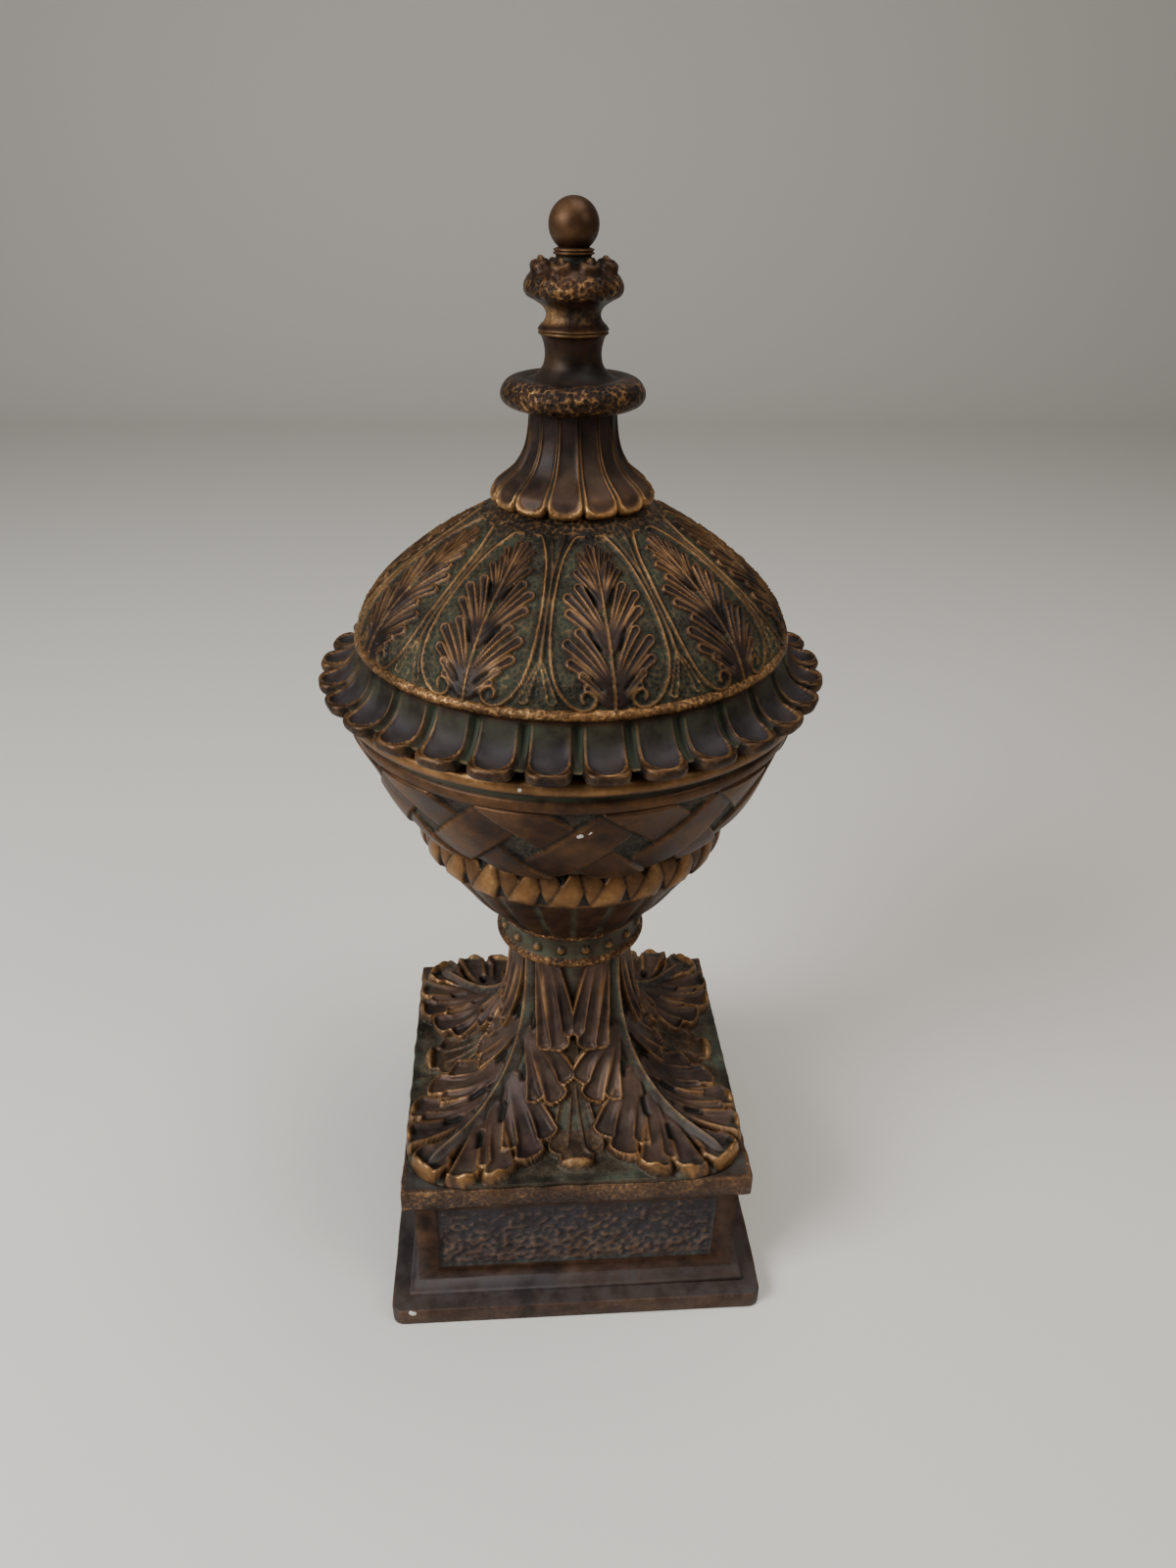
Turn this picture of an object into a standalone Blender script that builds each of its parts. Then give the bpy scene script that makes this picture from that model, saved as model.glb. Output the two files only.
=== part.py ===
# Mantel urn: a lidded bowl of woven straps on a leafed foot and a square plinth.
# Metres, +Z up, origin at the centre of the underside, front towards -Y.
import math

import bmesh
import bpy
from mathutils import Matrix, Vector

# Driving dimensions of the plinth
slab_half = 0.1086
slab_height = 0.0119
slab_corner = 0.0070
fillet_half = 0.0985
fillet_height = 0.0025
fillet_slope = 0.0049
die_half = 0.0926
die_top_half = 0.0917
die_height = 0.0662
cornice_half = 0.0980
cornice_height = 0.0135
panel_stile = 0.0110
panel_rail = 0.0080
panel_top_rail = 0.0124
panel_recess = 0.0020

# Driving dimensions of the foot
foot_height = 0.1090
foot_neck_radius = 0.0320
foot_reach = 0.1240
foot_neck_pull = 0.0560
foot_base_pull = 0.0140
foot_base_rise = 0.0025
leaf_lift = 0.0022
leaf_thickness = 0.0036
leaf_rib_half = 0.0035
leaf_roll_radius = 0.0046
side_leaf_length = 0.0560
side_leaf_half = 0.0120
side_leaf_roll = 0.0050

# Driving dimensions of the collar
collar_height = 0.0215
collar_radius = 0.0390
rope_height = 0.0050
rope_proud = 0.0018
bead_count = 18
bead_radius = 0.0026

# Driving dimensions of the bowl
flute_height = 0.0445
flute_count = 24
flute_low_radius = 0.0430
flute_top_radius = 0.0770
flute_depth = 0.0024
braid_height = 0.0210
braid_radius = 0.0800
braid_count = 24
braid_depth = 0.0026
notch_height = 0.0015
weave_height = 0.0495
weave_low_radius = 0.0815
weave_top_radius = 0.1095
weave_belly = 0.0035
weave_count = 12
weave_opening = 0.36
weave_depth = 0.0024
hoop_height = 0.0080
hoop_radius = 0.1120
groove_height = 0.0020
groove_depth = 0.0020
roll_height = 0.0105
roll_radius = 0.1170
bowl_wall = 0.0080
bowl_floor = 0.0130

# Driving dimensions of the lid
seat_gap = 0.0003
ring_clearance = 0.0008
ring_depth = 0.0060
rim_height = 0.0240
lobe_count = 30
lip_radius = 0.1255
lip_rise = 0.0050
lobe_gap_depth = 0.0050
lobe_sink = 0.0034
dome_rope_height = 0.0050
dome_rope_proud = 0.0018
dome_radius = 0.1035
dome_height = 0.0590
panel_count = 10
rib_proud = 0.0016
dome_leaf_proud = 0.0018
lid_wall = 0.0070
neck_height = 0.0465
neck_radius = 0.0360
neck_top_radius = 0.0197
petal_count = 14
petal_lip = 0.0110
petal_depth = 0.0028
disc_height = 0.0133
disc_radius = 0.0327
stem_height = 0.0170
stem_radius = 0.0124
stem_ring_height = 0.0025
stem_ring_radius = 0.0152
waist_height = 0.0109
waist_radius = 0.0121
crown_height = 0.0190
crown_radius = 0.0215
crown_count = 8
crown_knob = 0.0040
top_ring_height = 0.0045
top_ring_radius = 0.0087
ball_radius = 0.0106

# Where the repeats start, in degrees from the front (-Y) towards +X
flute_phase = 5.9
bead_phase = 9.5
braid_phase = 1.1
weave_phase = -1.7
lobe_phase = 4.3
panel_phase = 6.0
petal_phase = -8.1
crown_phase = 22.0

# Lobes of a corner leaf: the place along the midrib, the angle to it in degrees, the length
# and the half spread in degrees of each, and its leaflets. Places and lengths are shares of
# the leaf's own length.
lobe_plan = [
    (0.09, 27, 0.280, 19, 2),
    (0.33, 44, 0.255, 25, 2),
    (0.52, 38, 0.335, 23, 3),
    (0.68, 38, 0.305, 17, 2),
    (0.80, 32, 0.215, 17, 1),
]
tip_lobe = (0.86, 0, 0.120, 34, 2)
rolled_lobes = lobe_plan[3:4]

# How deep forms sink into each other
bite = 0.0020

# Steps round the mouth and round the ring inside it, the same so that their flats lie together
mouth_steps = 36

# Heights, worked up from the ground, and what fits what
die_low = slab_height + fillet_height + fillet_slope
die_top = die_low + die_height
plinth_top = die_top + cornice_height
foot_top = plinth_top + foot_height
collar_top = foot_top + collar_height
flute_top = collar_top + flute_height
braid_top = flute_top + braid_height
weave_low = braid_top + notch_height
weave_top = weave_low + weave_height
hoop_top = weave_top + hoop_height
mouth_z = hoop_top + groove_height + roll_height
mouth_inner = roll_radius - bowl_wall - groove_depth
seat_z = mouth_z + seat_gap
ring_outer = mouth_inner - ring_clearance
rope_z = seat_z + rim_height
neck_z = rope_z + dome_height
disc_z = neck_z + neck_height
stem_z = disc_z + disc_height
waist_z = stem_z + stem_height + stem_ring_height
crown_z = waist_z + waist_height
top_ring_z = crown_z + crown_height
ball_z = top_ring_z + top_ring_height + math.sqrt(ball_radius**2 - top_ring_radius**2)


def clear_scene():
    for item in list(bpy.data.objects):
        bpy.data.objects.remove(item, do_unlink=True)


def new_collection(name):
    group = bpy.data.collections.new(name)
    bpy.context.scene.collection.children.link(group)
    return group


def new_object(name, bm, group):
    bmesh.ops.recalc_face_normals(bm, faces=bm.faces)
    mesh = bpy.data.meshes.new(name)
    bm.to_mesh(mesh)
    bm.free()
    item = bpy.data.objects.new(name, mesh)
    group.objects.link(item)
    item.hide_render = True
    item.display_type = 'WIRE'
    return item


def bronze_paint(name, colour, roughness, metallic):
    paint = bpy.data.materials.new(name)
    paint.use_nodes = True
    shader = paint.node_tree.nodes["Principled BSDF"]
    shader.inputs["Base Color"].default_value = colour
    shader.inputs["Roughness"].default_value = roughness
    shader.inputs["Metallic"].default_value = metallic
    paint.diffuse_color = colour
    return paint


def bezier(points, t):
    s = 1.0 - t
    weights = (s**3, 3 * s * s * t, 3 * s * t * t, t**3)
    return tuple(sum(w * p[i] for w, p in zip(weights, points)) for i in range(2))


def curve_points(points, count):
    return [bezier(points, i / count) for i in range(count + 1)]


def around(radius, angle, z):
    # A point at an angle in degrees from the front towards +X
    turn = math.radians(angle)
    return Vector((radius * math.sin(turn), -radius * math.cos(turn), z))


def angle_of(point):
    return math.degrees(math.atan2(point.x, -point.y))


def fullness(angle, count, phase):
    # Round-topped repeats: 1 in the middle of each, falling steeply to 0 between two
    share = ((angle - phase) * count / 360.0 + 0.5) % 1.0 * 2.0 - 1.0
    return math.sqrt(max(0.0, 1.0 - share * share))


def turned_form(name, outline, steps, group, shape=None, phase=0.0):
    # An outline of (radius, height) points turned about Z. It runs down the outer side, and is
    # a closed ring unless it starts and ends on the axis. shape then moves each point.
    bm = bmesh.new()
    points = [bm.verts.new((radius, 0.0, z)) for radius, z in outline]
    for first, second in zip(points, points[1:]):
        bm.edges.new((first, second))
    if outline[0][0] > 0.0:
        bm.edges.new((points[-1], points[0]))
    form = new_object(name, bm, group)
    screw = form.modifiers.new("turn", 'SCREW')
    screw.steps = steps
    screw.render_steps = steps
    screw.use_merge_vertices = True
    screw.merge_threshold = 0.00001
    graph = bpy.context.evaluated_depsgraph_get()
    mesh = bpy.data.meshes.new_from_object(form.evaluated_get(graph))
    form.modifiers.clear()
    form.data = mesh
    bm = bmesh.new()
    bm.from_mesh(mesh)
    bmesh.ops.remove_doubles(bm, verts=bm.verts, dist=0.00001)
    bmesh.ops.rotate(bm, verts=bm.verts, matrix=Matrix.Rotation(math.radians(phase - 90.0), 3, 'Z'))
    if shape:
        for point in bm.verts:
            radius = math.hypot(point.co.x, point.co.y)
            point.co = around(*shape(radius, angle_of(point.co), point.co.z))
    bmesh.ops.recalc_face_normals(bm, faces=bm.faces)
    bm.to_mesh(mesh)
    bm.free()
    return form


def lofted_form(name, sides, levels, place, group, crest=None):
    # A polygon drawn up through a number of levels. place gives each corner of each level, and
    # crest, where there is one, gives the middle of the first and the last face.
    bm = bmesh.new()
    bmesh.ops.create_circle(bm, cap_ends=True, segments=sides, radius=1.0)
    corners = {point: i for i, point in enumerate(bm.verts)}
    flat = {i: point.co.copy() for point, i in corners.items()}
    rings = [corners]
    top = list(bm.faces)
    for level in range(levels):
        grown = bmesh.ops.extrude_face_region(bm, geom=top)["geom"]
        if level:
            bmesh.ops.delete(bm, geom=top, context='FACES_ONLY')
        top = [item for item in grown if isinstance(item, bmesh.types.BMFace)]
        points = [item for item in grown if isinstance(item, bmesh.types.BMVert)]
        rings.append({point: min(flat, key=lambda i: (flat[i] - point.co).length)
                      for point in points})
    for level, ring in enumerate(rings):
        for point, corner in ring.items():
            point.co = place(level, corner)
    if crest:
        caps = [face for face in bm.faces if len(face.verts) == sides]
        caps = [face for face in caps if set(face.verts) in (set(rings[0]), set(rings[-1]))]
        for face in caps:
            level = 0 if set(face.verts) == set(rings[0]) else levels
            middle = bmesh.ops.poke(bm, faces=[face])["verts"][0]
            middle.co = crest(level)
    return new_object(name, bm, group)


def square_form(name, sections, group):
    # Square sections of (half width, height), from the lowest up
    def place(level, corner):
        half, z = sections[level]
        x, y = [(1, 1), (-1, 1), (-1, -1), (1, -1)][corner]
        return Vector((x * half, y * half, z))
    return lofted_form(name, 4, len(sections) - 1, place, group)


def ball_form(name, centre, radii, turn, segments, rings, group):
    bm = bmesh.new()
    matrix = Matrix.Translation(centre) @ turn @ Matrix.Diagonal((*radii, 1.0))
    bmesh.ops.create_uvsphere(bm, u_segments=segments, v_segments=rings, radius=1.0, matrix=matrix)
    return new_object(name, bm, group)


def cut_or_join(item, operation, operand):
    step = item.modifiers.new(operation.lower(), 'BOOLEAN')
    step.operation = operation
    step.solver = 'EXACT'
    step.operand_type = 'COLLECTION'
    step.collection = operand


# The plinth

def plinth(group):
    return square_form("urn_body", [
        (fillet_half, bite),
        (fillet_half, slab_height + fillet_height),
        (die_half, die_low),
        (die_top_half, die_top),
        (cornice_half, die_top),
        (cornice_half, plinth_top)], group)


def base_slab(group):
    bm = bmesh.new()
    size = Matrix.Diagonal((2 * slab_half, 2 * slab_half, slab_height, 1.0))
    bmesh.ops.create_cube(bm, size=1.0, matrix=Matrix.Translation((0, 0, slab_height / 2)) @ size)
    upright = [edge for edge in bm.edges if abs(edge.verts[0].co.z - edge.verts[1].co.z) > bite]
    bmesh.ops.bevel(bm, geom=upright, offset=slab_corner, segments=3, profile=0.5, affect='EDGES')
    new_object("base_slab", bm, group)


def panel_cuts(group):
    # A shallow panel in each face of the die, with a frame of stiles and rails left round it
    width = 2 * (die_top_half - panel_stile)
    height = die_height - panel_rail - panel_top_rail
    depth = panel_recess + die_half - die_top_half
    reach = 4 * depth
    centre = (0.0, panel_recess - die_top_half - reach / 2, die_low + panel_rail + height / 2)
    box = Matrix.Translation(centre) @ Matrix.Diagonal((width, reach, height, 1.0))
    for number in range(4):
        bm = bmesh.new()
        turn = Matrix.Rotation(number * math.pi / 2, 4, 'Z')
        bmesh.ops.create_cube(bm, size=1.0, matrix=turn @ box)
        new_object(f"panel_{number}", bm, group)


# The foot. It is round at the neck and square at the plinth, and falls along each diagonal in
# one hollow curve.

def foot_path(share):
    low = plinth_top + foot_base_rise
    curve = [(foot_neck_radius, foot_top),
             (foot_neck_radius, foot_top - foot_neck_pull),
             (foot_neck_radius + foot_base_pull, low),
             (foot_reach, low)]
    return bezier(curve, share)


def foot_marks(count=160):
    # Distances walked along the curve, for its parameter at each
    marks = [(0.0, 0.0)]
    for i in range(1, count + 1):
        step = math.dist(foot_path((i - 1) / count), foot_path(i / count))
        marks.append((marks[-1][0] + step, i / count))
    return marks


walked = foot_marks()
leaf_length = walked[-1][0]


def foot_share(distance):
    for (near, first), (far, second) in zip(walked, walked[1:]):
        if distance <= far:
            return first + (second - first) * max(0.0, distance - near) / (far - near)
    return 1.0


def rounded_square(angle, share):
    # Radius against the one on the diagonal, the angle taken from the diagonal in degrees
    exponent = 2.0 + 4.0 * share * share

    def radius(turn):
        return (abs(math.cos(turn))**exponent + abs(math.sin(turn))**exponent)**(-1.0 / exponent)
    return radius(math.radians(45.0 + angle)) / radius(math.radians(45.0))


def foot_point(share, angle, lift, corner):
    radius, z = foot_path(share)
    ahead = foot_path(min(1.0, share + 0.01))
    behind = foot_path(max(0.0, share - 0.01))
    run, fall = ahead[0] - behind[0], ahead[1] - behind[1]
    size = math.hypot(run, fall)
    radius = radius * rounded_square(angle, share) - lift * fall / size
    return around(radius, corner + angle, z + lift * run / size)


def leaf_point(along, aside, lift, corner):
    # A place on a corner leaf: distances down its midrib, sideways from it and off the ground
    share = foot_share(along)
    return foot_point(share, math.degrees(aside / foot_path(share)[0]), lift, corner)


def foot_core(group):
    sides, levels = 24, 6

    def place(level, corner):
        angle = corner * 360.0 / sides
        point = foot_point(1.0 - max(0, level - 1) / (levels - 1), angle - 45.0, 0.0, 45.0)
        if level == 0:
            point.z = plinth_top - bite
        if level == levels:
            point.z += bite
        return point
    lofted_form("foot_core", sides, levels, place, group)


def leaf_blade(name, outline, corner, group):
    # A blade over a flat outline, bent onto the foot, its underside sunk in the ground
    top = leaf_lift + leaf_thickness
    middle = [sum(point[i] for point in outline) / len(outline) for i in (0, 1)]

    def place(level, number):
        return leaf_point(*outline[number], top if level else -2 * leaf_lift, corner)

    def crest(level):
        return leaf_point(*middle, 1.3 * top if level else -2 * leaf_lift, corner)
    lofted_form(name, len(outline), 1, place, group, crest)


def fan(root, angle, reach, spread, leaflets):
    # The root, then the scalloped edge of a fan of leaflets
    outline = [root]
    count = 2 * leaflets
    for i in range(count + 1):
        side = 2.0 * i / count - 1.0
        notch = 0.80 if i % 2 == 0 and 0 < i < count else 1.0
        size = reach * notch * (1.0 - 0.22 * side * side)
        swing = math.radians(angle + spread * side)
        outline.append((root[0] + size * math.cos(swing), root[1] + size * math.sin(swing)))
    return outline


def corner_leaf(index, group):
    corner = 45.0 + 90.0 * index
    name = f"leaf_{index}"
    for side in (-1, 1):
        for number, (start, angle, reach, spread, leaflets) in enumerate(lobe_plan):
            root = (start * leaf_length, leaf_rib_half / 2)
            flat = fan(root, angle, reach * leaf_length, spread, leaflets)
            flat = [(along, aside * side) for along, aside in flat]
            leaf_blade(f"{name}_{side}_{number}", flat, corner, group)
    start, angle, reach, spread, leaflets = tip_lobe
    flat = fan((start * leaf_length, 0.0), angle, reach * leaf_length, spread, leaflets)
    leaf_blade(f"{name}_tip", flat, corner, group)
    leaf_midrib(f"{name}_midrib", corner, group)
    leaf_roll(f"{name}_roll", tip_lobe, 0, corner, group)
    for lobe in rolled_lobes:
        for side in (-1, 1):
            leaf_roll(f"{name}_roll", lobe, side, corner, group)


def leaf_midrib(name, corner, group):
    levels = 7
    top = 1.4 * (leaf_lift + leaf_thickness)

    def place(level, number):
        share = level / levels
        aside = (-1, 1, 1, -1)[number] * leaf_rib_half * (1.2 - 0.7 * share)
        lift = (top, top, -2 * leaf_lift, -2 * leaf_lift)[number]
        return leaf_point((0.015 + 0.94 * share) * leaf_length, aside, lift, corner)
    lofted_form(name, 4, levels, place, group)


def leaf_roll(name, lobe, side, corner, group):
    # The rolled-over tip of a lobe, lying across it
    start, angle, reach, _, _ = lobe
    swing = math.radians(angle)
    along = (start + reach * math.cos(swing)) * leaf_length - leaf_roll_radius
    aside = side * reach * math.sin(swing) * leaf_length
    centre = leaf_point(along, aside, leaf_lift, corner)
    turn = Matrix.Rotation(math.radians(corner + side * angle), 4, 'Z')
    radii = (1.6 * leaf_roll_radius, leaf_roll_radius, leaf_roll_radius)
    ball_form(name, centre, radii, turn, 6, 4, group)


def side_leaf(index, group):
    # A small tongue leaf in the middle of each side, its tip rolled over
    middle = 90.0 * index
    levels = 5
    start = 0.945 * leaf_length - side_leaf_length
    top = leaf_lift + 0.7 * leaf_thickness
    widths = (0.15, 0.45, 0.8, 1.0, 0.9, 0.45)

    def place(level, number):
        share = foot_share(start + side_leaf_length * level / levels)
        aside = (-1, 0, 1, 1, -1)[number] * side_leaf_half * widths[level]
        lift = (top, 1.5 * top, top, -2 * leaf_lift, -2 * leaf_lift)[number]
        radius = foot_path(share)[0] * rounded_square(45.0, share)
        return foot_point(share, 45.0 + math.degrees(aside / radius), lift, middle - 45.0)
    lofted_form(f"side_leaf_{index}", 5, levels, place, group)
    centre = foot_point(foot_share(start + side_leaf_length - side_leaf_roll), 45.0, top, middle - 45.0)
    centre.z -= side_leaf_roll / 2
    radii = (1.7 * side_leaf_roll, side_leaf_roll, side_leaf_roll)
    turn = Matrix.Rotation(math.radians(middle), 4, 'Z')
    ball_form(f"side_leaf_{index}_roll", centre, radii, turn, 6, 4, group)


# The collar

def collar(group):
    # Two rope mouldings with a row of beads between them
    low, high = foot_top, collar_top
    middle = (low + high) / 2
    rope = collar_radius + rope_proud
    outline = [(0.0, high + bite), (collar_radius, high + bite),
               (rope, high - rope_height / 2), (collar_radius, high - rope_height),
               (collar_radius + bead_radius / 2, middle), (collar_radius, low + rope_height),
               (rope, low + rope_height / 2), (foot_neck_radius - bite, low), (0.0, low)]

    def shape(radius, angle, z):
        if abs(z - middle) < bead_radius / 2:
            radius += bead_radius * math.cos(math.radians((angle - bead_phase) * bead_count)) / 2
        return radius, angle, z
    turned_form("collar", outline, 2 * bead_count, group, shape, bead_phase)


# The bowl

def weave_radius(z):
    # The bottom of the openings between the straps
    share = (z - weave_low) / weave_height
    straight = weave_low_radius + (weave_top_radius - weave_low_radius) * share
    return straight + 4 * weave_belly * share * (1.0 - share) - weave_depth


def bowl_core(group):
    # The plain bowl under its ornament, with the hoop, the groove and the rolled mouth
    upper = weave_top - bite
    groove_radius = hoop_radius - groove_depth
    outline = [(0.0, mouth_z), (roll_radius - 0.4 * roll_height, mouth_z),
               (roll_radius, mouth_z - 0.3 * roll_height), (roll_radius, mouth_z - 0.7 * roll_height),
               (groove_radius, hoop_top + groove_height), (groove_radius, hoop_top),
               (hoop_radius, hoop_top - groove_height), (hoop_radius, weave_top + 0.2 * hoop_height),
               (weave_radius(weave_top) - weave_depth / 2, upper),
               (weave_radius(weave_low) - weave_depth / 2, weave_low),
               (braid_radius - 2 * braid_depth, braid_top), (braid_radius - 2 * braid_depth, flute_top),
               (flute_low_radius - 2 * flute_depth, collar_top + bite / 2), (0.0, collar_top + bite / 2)]
    turned_form("bowl_core", outline, mouth_steps, group)


def flutes(group):
    inner = flute_low_radius - 3 * flute_depth
    rows = 2
    outline = [(inner, flute_top + bite), (flute_top_radius, flute_top + bite)]
    for i in range(rows + 1):
        share = 1.0 - i / rows
        radius = flute_low_radius + (flute_top_radius - flute_low_radius) * share**0.92
        outline.append((radius, collar_top + flute_height * share))
    outline.append((inner, collar_top))

    def shape(radius, angle, z):
        if radius > inner + flute_depth / 2:
            share = (z - collar_top) / flute_height
            full = fullness(angle, flute_count, flute_phase)
            radius -= flute_depth * (1.0 - full) * (0.5 + 0.7 * share)
        return radius, angle, z
    turned_form("flutes", outline, flute_count * 2, group, shape, flute_phase + 180.0 / flute_count)


def braid(group):
    # A folded ribbon: peaks along its upper edge stand over hollows along its lower edge
    inner = braid_radius - 4 * braid_depth
    edge = braid_radius - braid_depth
    mid = (flute_top + braid_top) / 2
    outline = [(inner, braid_top), (edge, braid_top), (braid_radius, mid + 0.25 * braid_height),
               (braid_radius, mid - 0.25 * braid_height), (edge, flute_top), (inner, flute_top)]

    def shape(radius, angle, z):
        if radius > inner + braid_depth:
            peak = 0.5 + 0.5 * math.cos(math.radians((angle - braid_phase) * braid_count))
            level = (z - mid) / braid_height
            radius -= braid_depth * (1.0 - peak if level > 0 else peak)
            z += 0.15 * braid_height * (peak - 0.5)
        return radius, angle, z
    turned_form("braid", outline, braid_count * 2, group, shape, braid_phase)


def weave(group):
    # A flat band, one unit wide to a repeat and one unit high, cut along the edges of the straps
    # of both directions, then wrapped round the bowl and closed behind. An opening lies wherever a
    # whole line of one direction meets a whole line of the other, and its middle is sunk.
    bm = bmesh.new()
    bmesh.ops.create_grid(bm, x_segments=1, y_segments=1, size=0.5)
    bmesh.ops.translate(bm, verts=bm.verts, vec=(0.5, 0.5, 0.0))
    bmesh.ops.scale(bm, verts=bm.verts, vec=(weave_count, 1.0, 1.0))
    bmesh.ops.translate(bm, verts=bm.verts, vec=(0.25, 0.0, 0.0))
    for whole in range(-1, weave_count + 2):
        for edge in (whole - weave_opening / 2, whole + weave_opening / 2):
            for slope in (-1.0, 1.0):
                geom = list(bm.verts) + list(bm.edges) + list(bm.faces)
                bmesh.ops.bisect_plane(bm, geom=geom, dist=0.00001, plane_co=(edge, 0.0, 0.0),
                                       plane_no=(1.0, slope, 0.0))

    def is_open(face):
        along, down, _ = face.calc_center_median()
        return all(abs(line - round(line)) < weave_opening / 2 for line in (along - down, along + down))

    openings = [face for face in bm.faces if is_open(face)]
    sunk = set(bmesh.ops.poke(bm, faces=openings)["verts"])
    rims = [item for item in bm.edges if item.is_boundary and item.verts[0].co.y == item.verts[1].co.y]
    grown = bmesh.ops.extrude_edge_only(bm, edges=rims)["geom"]
    behind = {item for item in grown if isinstance(item, bmesh.types.BMVert)}
    for point in bm.verts:
        along, down, _ = point.co
        z = weave_top - weave_height * down
        radius = weave_radius(z)
        if point in behind:
            radius -= 2 * weave_depth
        elif point not in sunk:
            radius += weave_depth
        point.co = around(radius, weave_phase + 360.0 * along / weave_count, z)
    bmesh.ops.remove_doubles(bm, verts=bm.verts, dist=0.00001)
    bmesh.ops.bridge_loops(bm, edges=[item for item in bm.edges if item.is_boundary])
    new_object("weave", bm, group)


def bowl_cut(group):
    # The inside of the bowl, one wall behind the outside
    floor = collar_top + bowl_floor
    wall = bowl_wall + flute_depth
    middle = 0.45 * flute_height
    spread = flute_top_radius - flute_low_radius
    outline = [(0.0, mouth_z + bite), (mouth_inner, mouth_z + bite),
               (mouth_inner, mouth_z - ring_depth - bite),
               (weave_radius(weave_top) - bowl_wall, weave_top - bite),
               (weave_radius((weave_low + weave_top) / 2) - bowl_wall, (weave_low + weave_top) / 2),
               (weave_radius(weave_low) - bowl_wall, weave_low),
               (flute_top_radius - wall, flute_top),
               (flute_low_radius + 0.5 * spread - wall, collar_top + middle),
               (flute_low_radius - 0.7 * wall, floor), (0.0, floor)]
    turned_form("bowl_cavity", outline, mouth_steps, group)


# The lid

def dome_curve(rows, drop=0.0):
    # From the neck down to the rope at the foot of the dome, drop being how far inside it runs
    low = dome_radius - drop
    return curve_points([(neck_radius, neck_z - drop), (0.63 * low, neck_z - 0.24 * dome_height - drop),
                         (0.965 * low, rope_z + 0.41 * dome_height), (low, rope_z)], rows)


def dome(group):
    # Panels with a rib between each two and a tall lobed leaf up the middle of each, over a rope
    # moulding. Six columns of points to a panel carry them.
    steps = 6 * panel_count
    rows = 7
    half = dome_rope_height / 2
    rope = [(dome_radius, rope_z + half), (dome_radius + dome_rope_proud, rope_z + 0.4 * half),
            (dome_radius + dome_rope_proud, rope_z - 0.4 * half)]
    outline = [(0.0, neck_z)] + dome_curve(rows)[:-1] + rope
    outline += [(dome_radius, seat_z + bite), (0.0, seat_z + bite)]

    def shape(radius, angle, z):
        row = min(range(len(outline)), key=lambda i: abs(outline[i][1] - z))
        column = abs(round(((angle - panel_phase) * panel_count / 60.0) % 6.0 - 3.0))
        lift = 0.0
        if 2 <= row <= rows:
            if column == 0:
                lift = rib_proud
            elif column == 3:
                lift = dome_leaf_proud
            elif column == 2 and 3 <= row < rows and row % 2:
                lift = 0.75 * dome_leaf_proud
        return radius + 0.8 * lift, angle, z + 0.6 * lift
    return turned_form("lid", outline, steps, group, shape, panel_phase)


def rim(group):
    # Cupped lobes that flare from the dome's rope to a thin lip
    low = seat_z
    lip_z = low + lip_rise
    inner = dome_radius - lid_wall / 2
    top = rope_z - dome_rope_height / 4
    outline = [(inner, top), (dome_radius + 0.4 * dome_rope_proud, top),
               ((dome_radius + lip_radius) / 2, low + 0.5 * rim_height), (lip_radius, lip_z),
               (lip_radius - 1.3 * lip_rise, low), (inner, low)]

    def shape(radius, angle, z):
        if radius > dome_radius + 0.1 * lobe_sink:
            full = fullness(angle, lobe_count, lobe_phase)
            reach = (radius - dome_radius) / (lip_radius - dome_radius)
            radius -= lobe_gap_depth * (1.0 - full) * reach
            if lip_z + 0.1 * lobe_sink < z < rope_z - dome_rope_height / 2:
                z -= lobe_sink * full * 4 * reach * (1.0 - reach)
        return radius, angle, z
    turned_form("rim", outline, 3 * lobe_count, group, shape, lobe_phase + 180.0 / lobe_count)
    ring_low = seat_z - ring_depth
    outline = [(inner - bite, low + 2 * bite), (ring_outer, low + 2 * bite), (ring_outer, ring_low),
               (inner - bite, ring_low)]
    turned_form("centring_ring", outline, mouth_steps, group)


def neck(group):
    # The bell of petals under the finial, each with a thick rounded lip
    fall = disc_z - neck_z
    lip_z = neck_z + petal_lip
    stalk = curve_points([(neck_top_radius, disc_z), (neck_top_radius, disc_z - 0.45 * fall),
                          (0.62 * neck_radius, lip_z + 0.10 * fall), (0.97 * neck_radius, lip_z)], 4)
    lip = [(neck_radius + 0.4 * bite, neck_z + 0.5 * petal_lip),
           (neck_radius - 1.5 * bite, neck_z - bite / 2)]
    outline = [(0.0, disc_z + bite), (neck_top_radius - bite, disc_z + bite)] + stalk + lip
    outline.append((0.0, neck_z - bite / 2))

    def shape(radius, angle, z):
        if radius > neck_top_radius - 0.5 * bite and z < disc_z + 0.5 * bite:
            full = fullness(angle, petal_count, petal_phase)
            radius -= petal_depth * (1.0 - full) * (0.3 + 0.7 * radius / neck_radius)
        return radius, angle, z
    turned_form("neck", outline, 3 * petal_count, group, shape, petal_phase + 180.0 / petal_count)


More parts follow.
